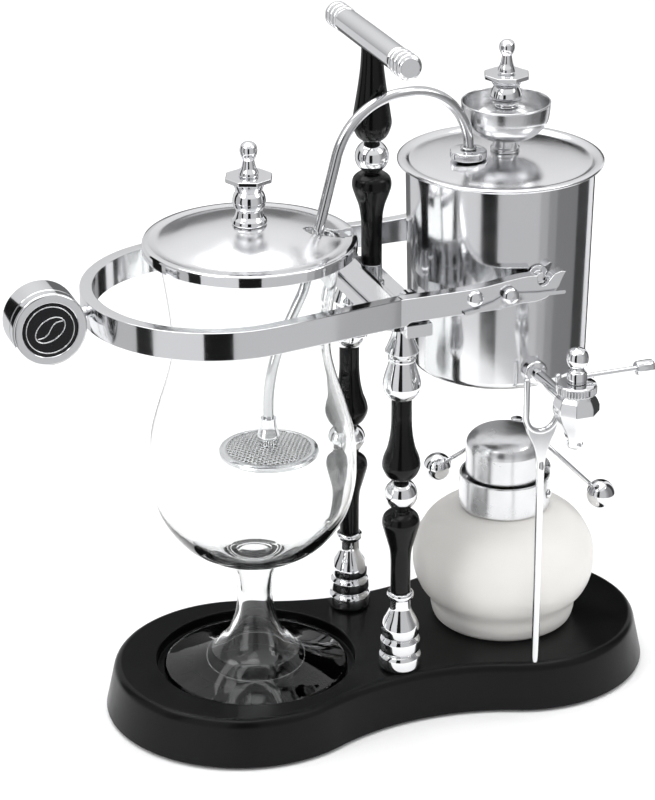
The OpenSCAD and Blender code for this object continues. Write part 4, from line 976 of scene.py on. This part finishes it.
Build().turned([[[6.1, 90], [6.1, 99]], [[8.4, 99], [8.4, 100]], [[5.6, 100.4], [5.2, 104]]], 4, burner_m).obj(
    "wick_sleeve", brass, "wick_holder", "brass")


def braid(r, z, t):
    """Strands that cross over, round the wick."""
    return r - 0.16 * (0.5 - 0.5 * math.cos(12 * t + z * 1.6)) * (0.5 + 0.5 * math.cos(12 * t - z * 1.6))


b = Build()
b.lathe([(0, 34)] + [(3.93, 34.2 + k * 0.5) for k in range(144)] + [(3.5, 106.3), (1.8, 106.45), (0, 106.5)],
        burner_m, 96, braid)
b.obj("braided_wick", cotton, "wick", "cloth")

D_OUT = [[[19.7, 102.9], [19.7, 116]],
         [[19.7, 116], [19.2, 119.4], [17.4, 122], [14, 124], [8, 125.1], [0, 125.4]]]
b = Build().lathe(fillet(chain(D_OUT + [
    [[0, 124.4], [8, 124.1], [13.6, 123.1], [16.6, 121.3], [18.2, 118.9], [18.7, 116]],
    [[18.7, 116], [18.7, 102.9]]]) + [(19.7, 102.9)], 0.25)[:-1] + [(19.7, 102.9)], burner_m, 160)
flange = [Vector((21.05 * math.cos(math.radians(t)), 21.05 * math.sin(math.radians(t)), 0))
          for t in [HINGE_DIR - 77.5 + 155 * k / 70 for k in range(71)]]
b.sweep(flange, fillet([(-1.5, -1.6), (1.5, -1.6), (1.5, 1.6), (-1.5, 1.6)], 0.4, loop=True), (0, 0, 1),
        burner_m @ at(0, 0, 104.5))
knuckle = [(22.1, 103.3), (22.5, 102.9), (24, 101.2)] + arc((HINGE_R, HINGE_Z), 2.3, 120, 380, 24) + [
    (27.2, 102.6), (25.6, 104.6), (22.1, 106)]
b.prism(knuckle, -5.3, 5.3, hinge_m @ along_y(0, 0, 0), 0.25)
b.obj("snuffer_dome", satin, "snuffer", "chrome")
Build().lathe(fillet([(0, -8), (1.2, -8), (1.2, 8), (0, 8)], 0.3),
              hinge_m @ along_y(HINGE_R, 0, HINGE_Z), 32).obj("hinge_pin", mirror, "snuffer_pin", "chrome")
ball = Vector((21.8, 43.3, 88))
b = Build()
b.lathe(fillet([(2.9, 117), (3, 118), (3, 124.4), (0, 124.6)], 0.6), hinge_m @ at(16.8), 48)
for s in (1, -1):
    p0, p1 = Vector((18.8, 0, 123)), Vector((ball.x, s * ball.y, ball.z))
    d = (p1 - p0).normalized()
    side = d.cross(Vector((0, 0, 1))).normalized()
    b.tube([p0, p0.lerp(p1, 0.5), p1 - d * 7.0], 1.1, side, hinge_m, 24, False)
b.obj("snuffer_arms", polished, "ball_arms", "chrome")
b = Build()
for s in (1, -1):
    b.ball(7.3, hinge_m @ at(ball.x, s * ball.y, ball.z))
b.obj("arm_ball_pair", mirror, "arm_balls", "chrome")

# ---------------------------------------------------------------- CAD nodes that keep their own shape
CAD_LOOK = {"tie_rods": steel, "tie_nuts": polished, "bridge_plate": polished, "pivot_pins": mirror,
            "handle_rod": steel, "keeper_front": polished, "keeper_rear": polished}
for name, mat in CAD_LOOK.items():
    o = frame["nodes"][name]
    o.data.materials.clear()
    o.data.materials.append(mat)
    o.data.shade_smooth()
    d = o.modifiers.new("flat", "DECIMATE")
    d.decimate_type, d.angle_limit = "DISSOLVE", math.radians(0.6)
    v = o.modifiers.new("edge", "BEVEL")
    v.width, v.segments, v.limit_method, v.angle_limit = 0.25 * MM, 2, "ANGLE", math.radians(40)
    weigh_normals(o)

# ---------------------------------------------------------------- floor and light
me = bpy.data.meshes.new("floor")
me.from_pydata([(-6, -6, 0), (6, -6, 0), (6, 6, 0), (-6, 6, 0)], [], [(0, 1, 2, 3)])
floor = placed("floor", me)
pale, n, l, p = material("pale_floor", Roughness=0.6, Base_Color=(0.93, 0.93, 0.93, 1))
l.new(ranged(n, l, noise(n, l, 3, 2), 0.55, 0.65), p.inputs["Roughness"])
me.materials.append(pale)


def softbox(name, where, size, power, target=(0, 0, 0.15)):
    d = bpy.data.lights.new(name, "AREA")
    d.shape, d.size, d.size_y, d.energy = "RECTANGLE", size[0], size[1], power
    o = placed(name, d)
    o.location = where
    o.rotation_euler = (Vector(target) - Vector(where)).to_track_quat("-Z", "Y").to_euler()


softbox("light_top", (-0.1, 0.2, 1.6), (1.6, 1.6), 16)
softbox("light_left", (-1.5, -0.5, 0.9), (0.9, 1.5), 12)
softbox("light_right", (1.3, -0.9, 1.0), (0.7, 1.5), 9)


CAMERA_SIDE = 249  # direction from the object to the camera, in degrees from X


def card(name, off0, off1, tone, top):
    """An upright studio card, seen only in reflections: what the polished metal mirrors."""
    cx, cy, r = -0.01, -0.01, 0.37  # centre and radius of the ring of cards, in metres
    n = max(1, int(abs(off1 - off0) / 6))
    v, f = [], []
    for k in range(n + 1):
        t = math.radians(CAMERA_SIDE + off0 + (off1 - off0) * k / n)
        v += [(cx + r * math.cos(t), cy + r * math.sin(t), 0.004),
              (cx + r * math.cos(t), cy + r * math.sin(t), top)]
    for k in range(n):
        f.append((2 * k, 2 * k + 1, 2 * k + 3, 2 * k + 2))
    me = bpy.data.meshes.new(name)
    me.from_pydata(v, [], f)
    m = bpy.data.materials.new(name)
    m.use_nodes = True
    m.node_tree.nodes.clear()
    e = m.node_tree.nodes.new("ShaderNodeEmission")
    e.inputs[0].default_value = (tone, tone, tone * 1.02, 1)
    out = m.node_tree.nodes.new("ShaderNodeOutputMaterial")
    m.node_tree.links.new(e.outputs[0], out.inputs[0])
    me.materials.append(m)
    o = placed(name, me)
    o.visible_camera = o.visible_shadow = o.visible_diffuse = o.visible_transmission = False


# degrees round from the camera's side, brightness and height
for i, (a0, a1, tone, top) in enumerate([
        (-178, -150, 0.16, 0.33), (-150, -112, 0.75, 0.33), (-112, -96, 0.01, 0.40), (-96, -64, 0.55, 0.40),
        (-64, -52, 0.02, 0.42), (-52, -17, 0.80, 0.42), (-17, 5, 0.012, 0.42), (5, 56, 0.62, 0.42),
        (56, 66, 0.48, 0.42), (66, 76, 0.34, 0.42), (76, 104, 0.24, 0.42), (104, 126, 0.06, 0.40),
        (126, 142, 0.95, 0.38), (142, 166, 0.012, 0.34), (166, 182, 0.35, 0.33)]):
    card(f"card_{i}", a0, a1, tone, top)

world = bpy.data.worlds.new("world")
bpy.context.scene.world = world
world.use_nodes = True
wn, wl = world.node_tree.nodes, world.node_tree.links
bg = wn["Background"]
tc = wn.new("ShaderNodeTexCoord")
sep = wn.new("ShaderNodeSeparateXYZ")
wl.new(tc.outputs["Generated"], sep.inputs[0])
ramp = wn.new("ShaderNodeValToRGB")
ramp.color_ramp.elements[0].position = 0.0
ramp.color_ramp.elements[0].color = (0.45, 0.45, 0.46, 1)
ramp.color_ramp.elements[1].position = 1.0
ramp.color_ramp.elements[1].color = (0.95, 0.95, 0.96, 1)
e = ramp.color_ramp.elements.new(0.45)
e.color = (0.85, 0.85, 0.86, 1)
wl.new(sep.outputs["Z"], ramp.inputs[0])
wl.new(ramp.outputs[0], bg.inputs[0])
bg.inputs[1].default_value = 1.0
bpy.context.scene.view_settings.view_transform = "Standard"
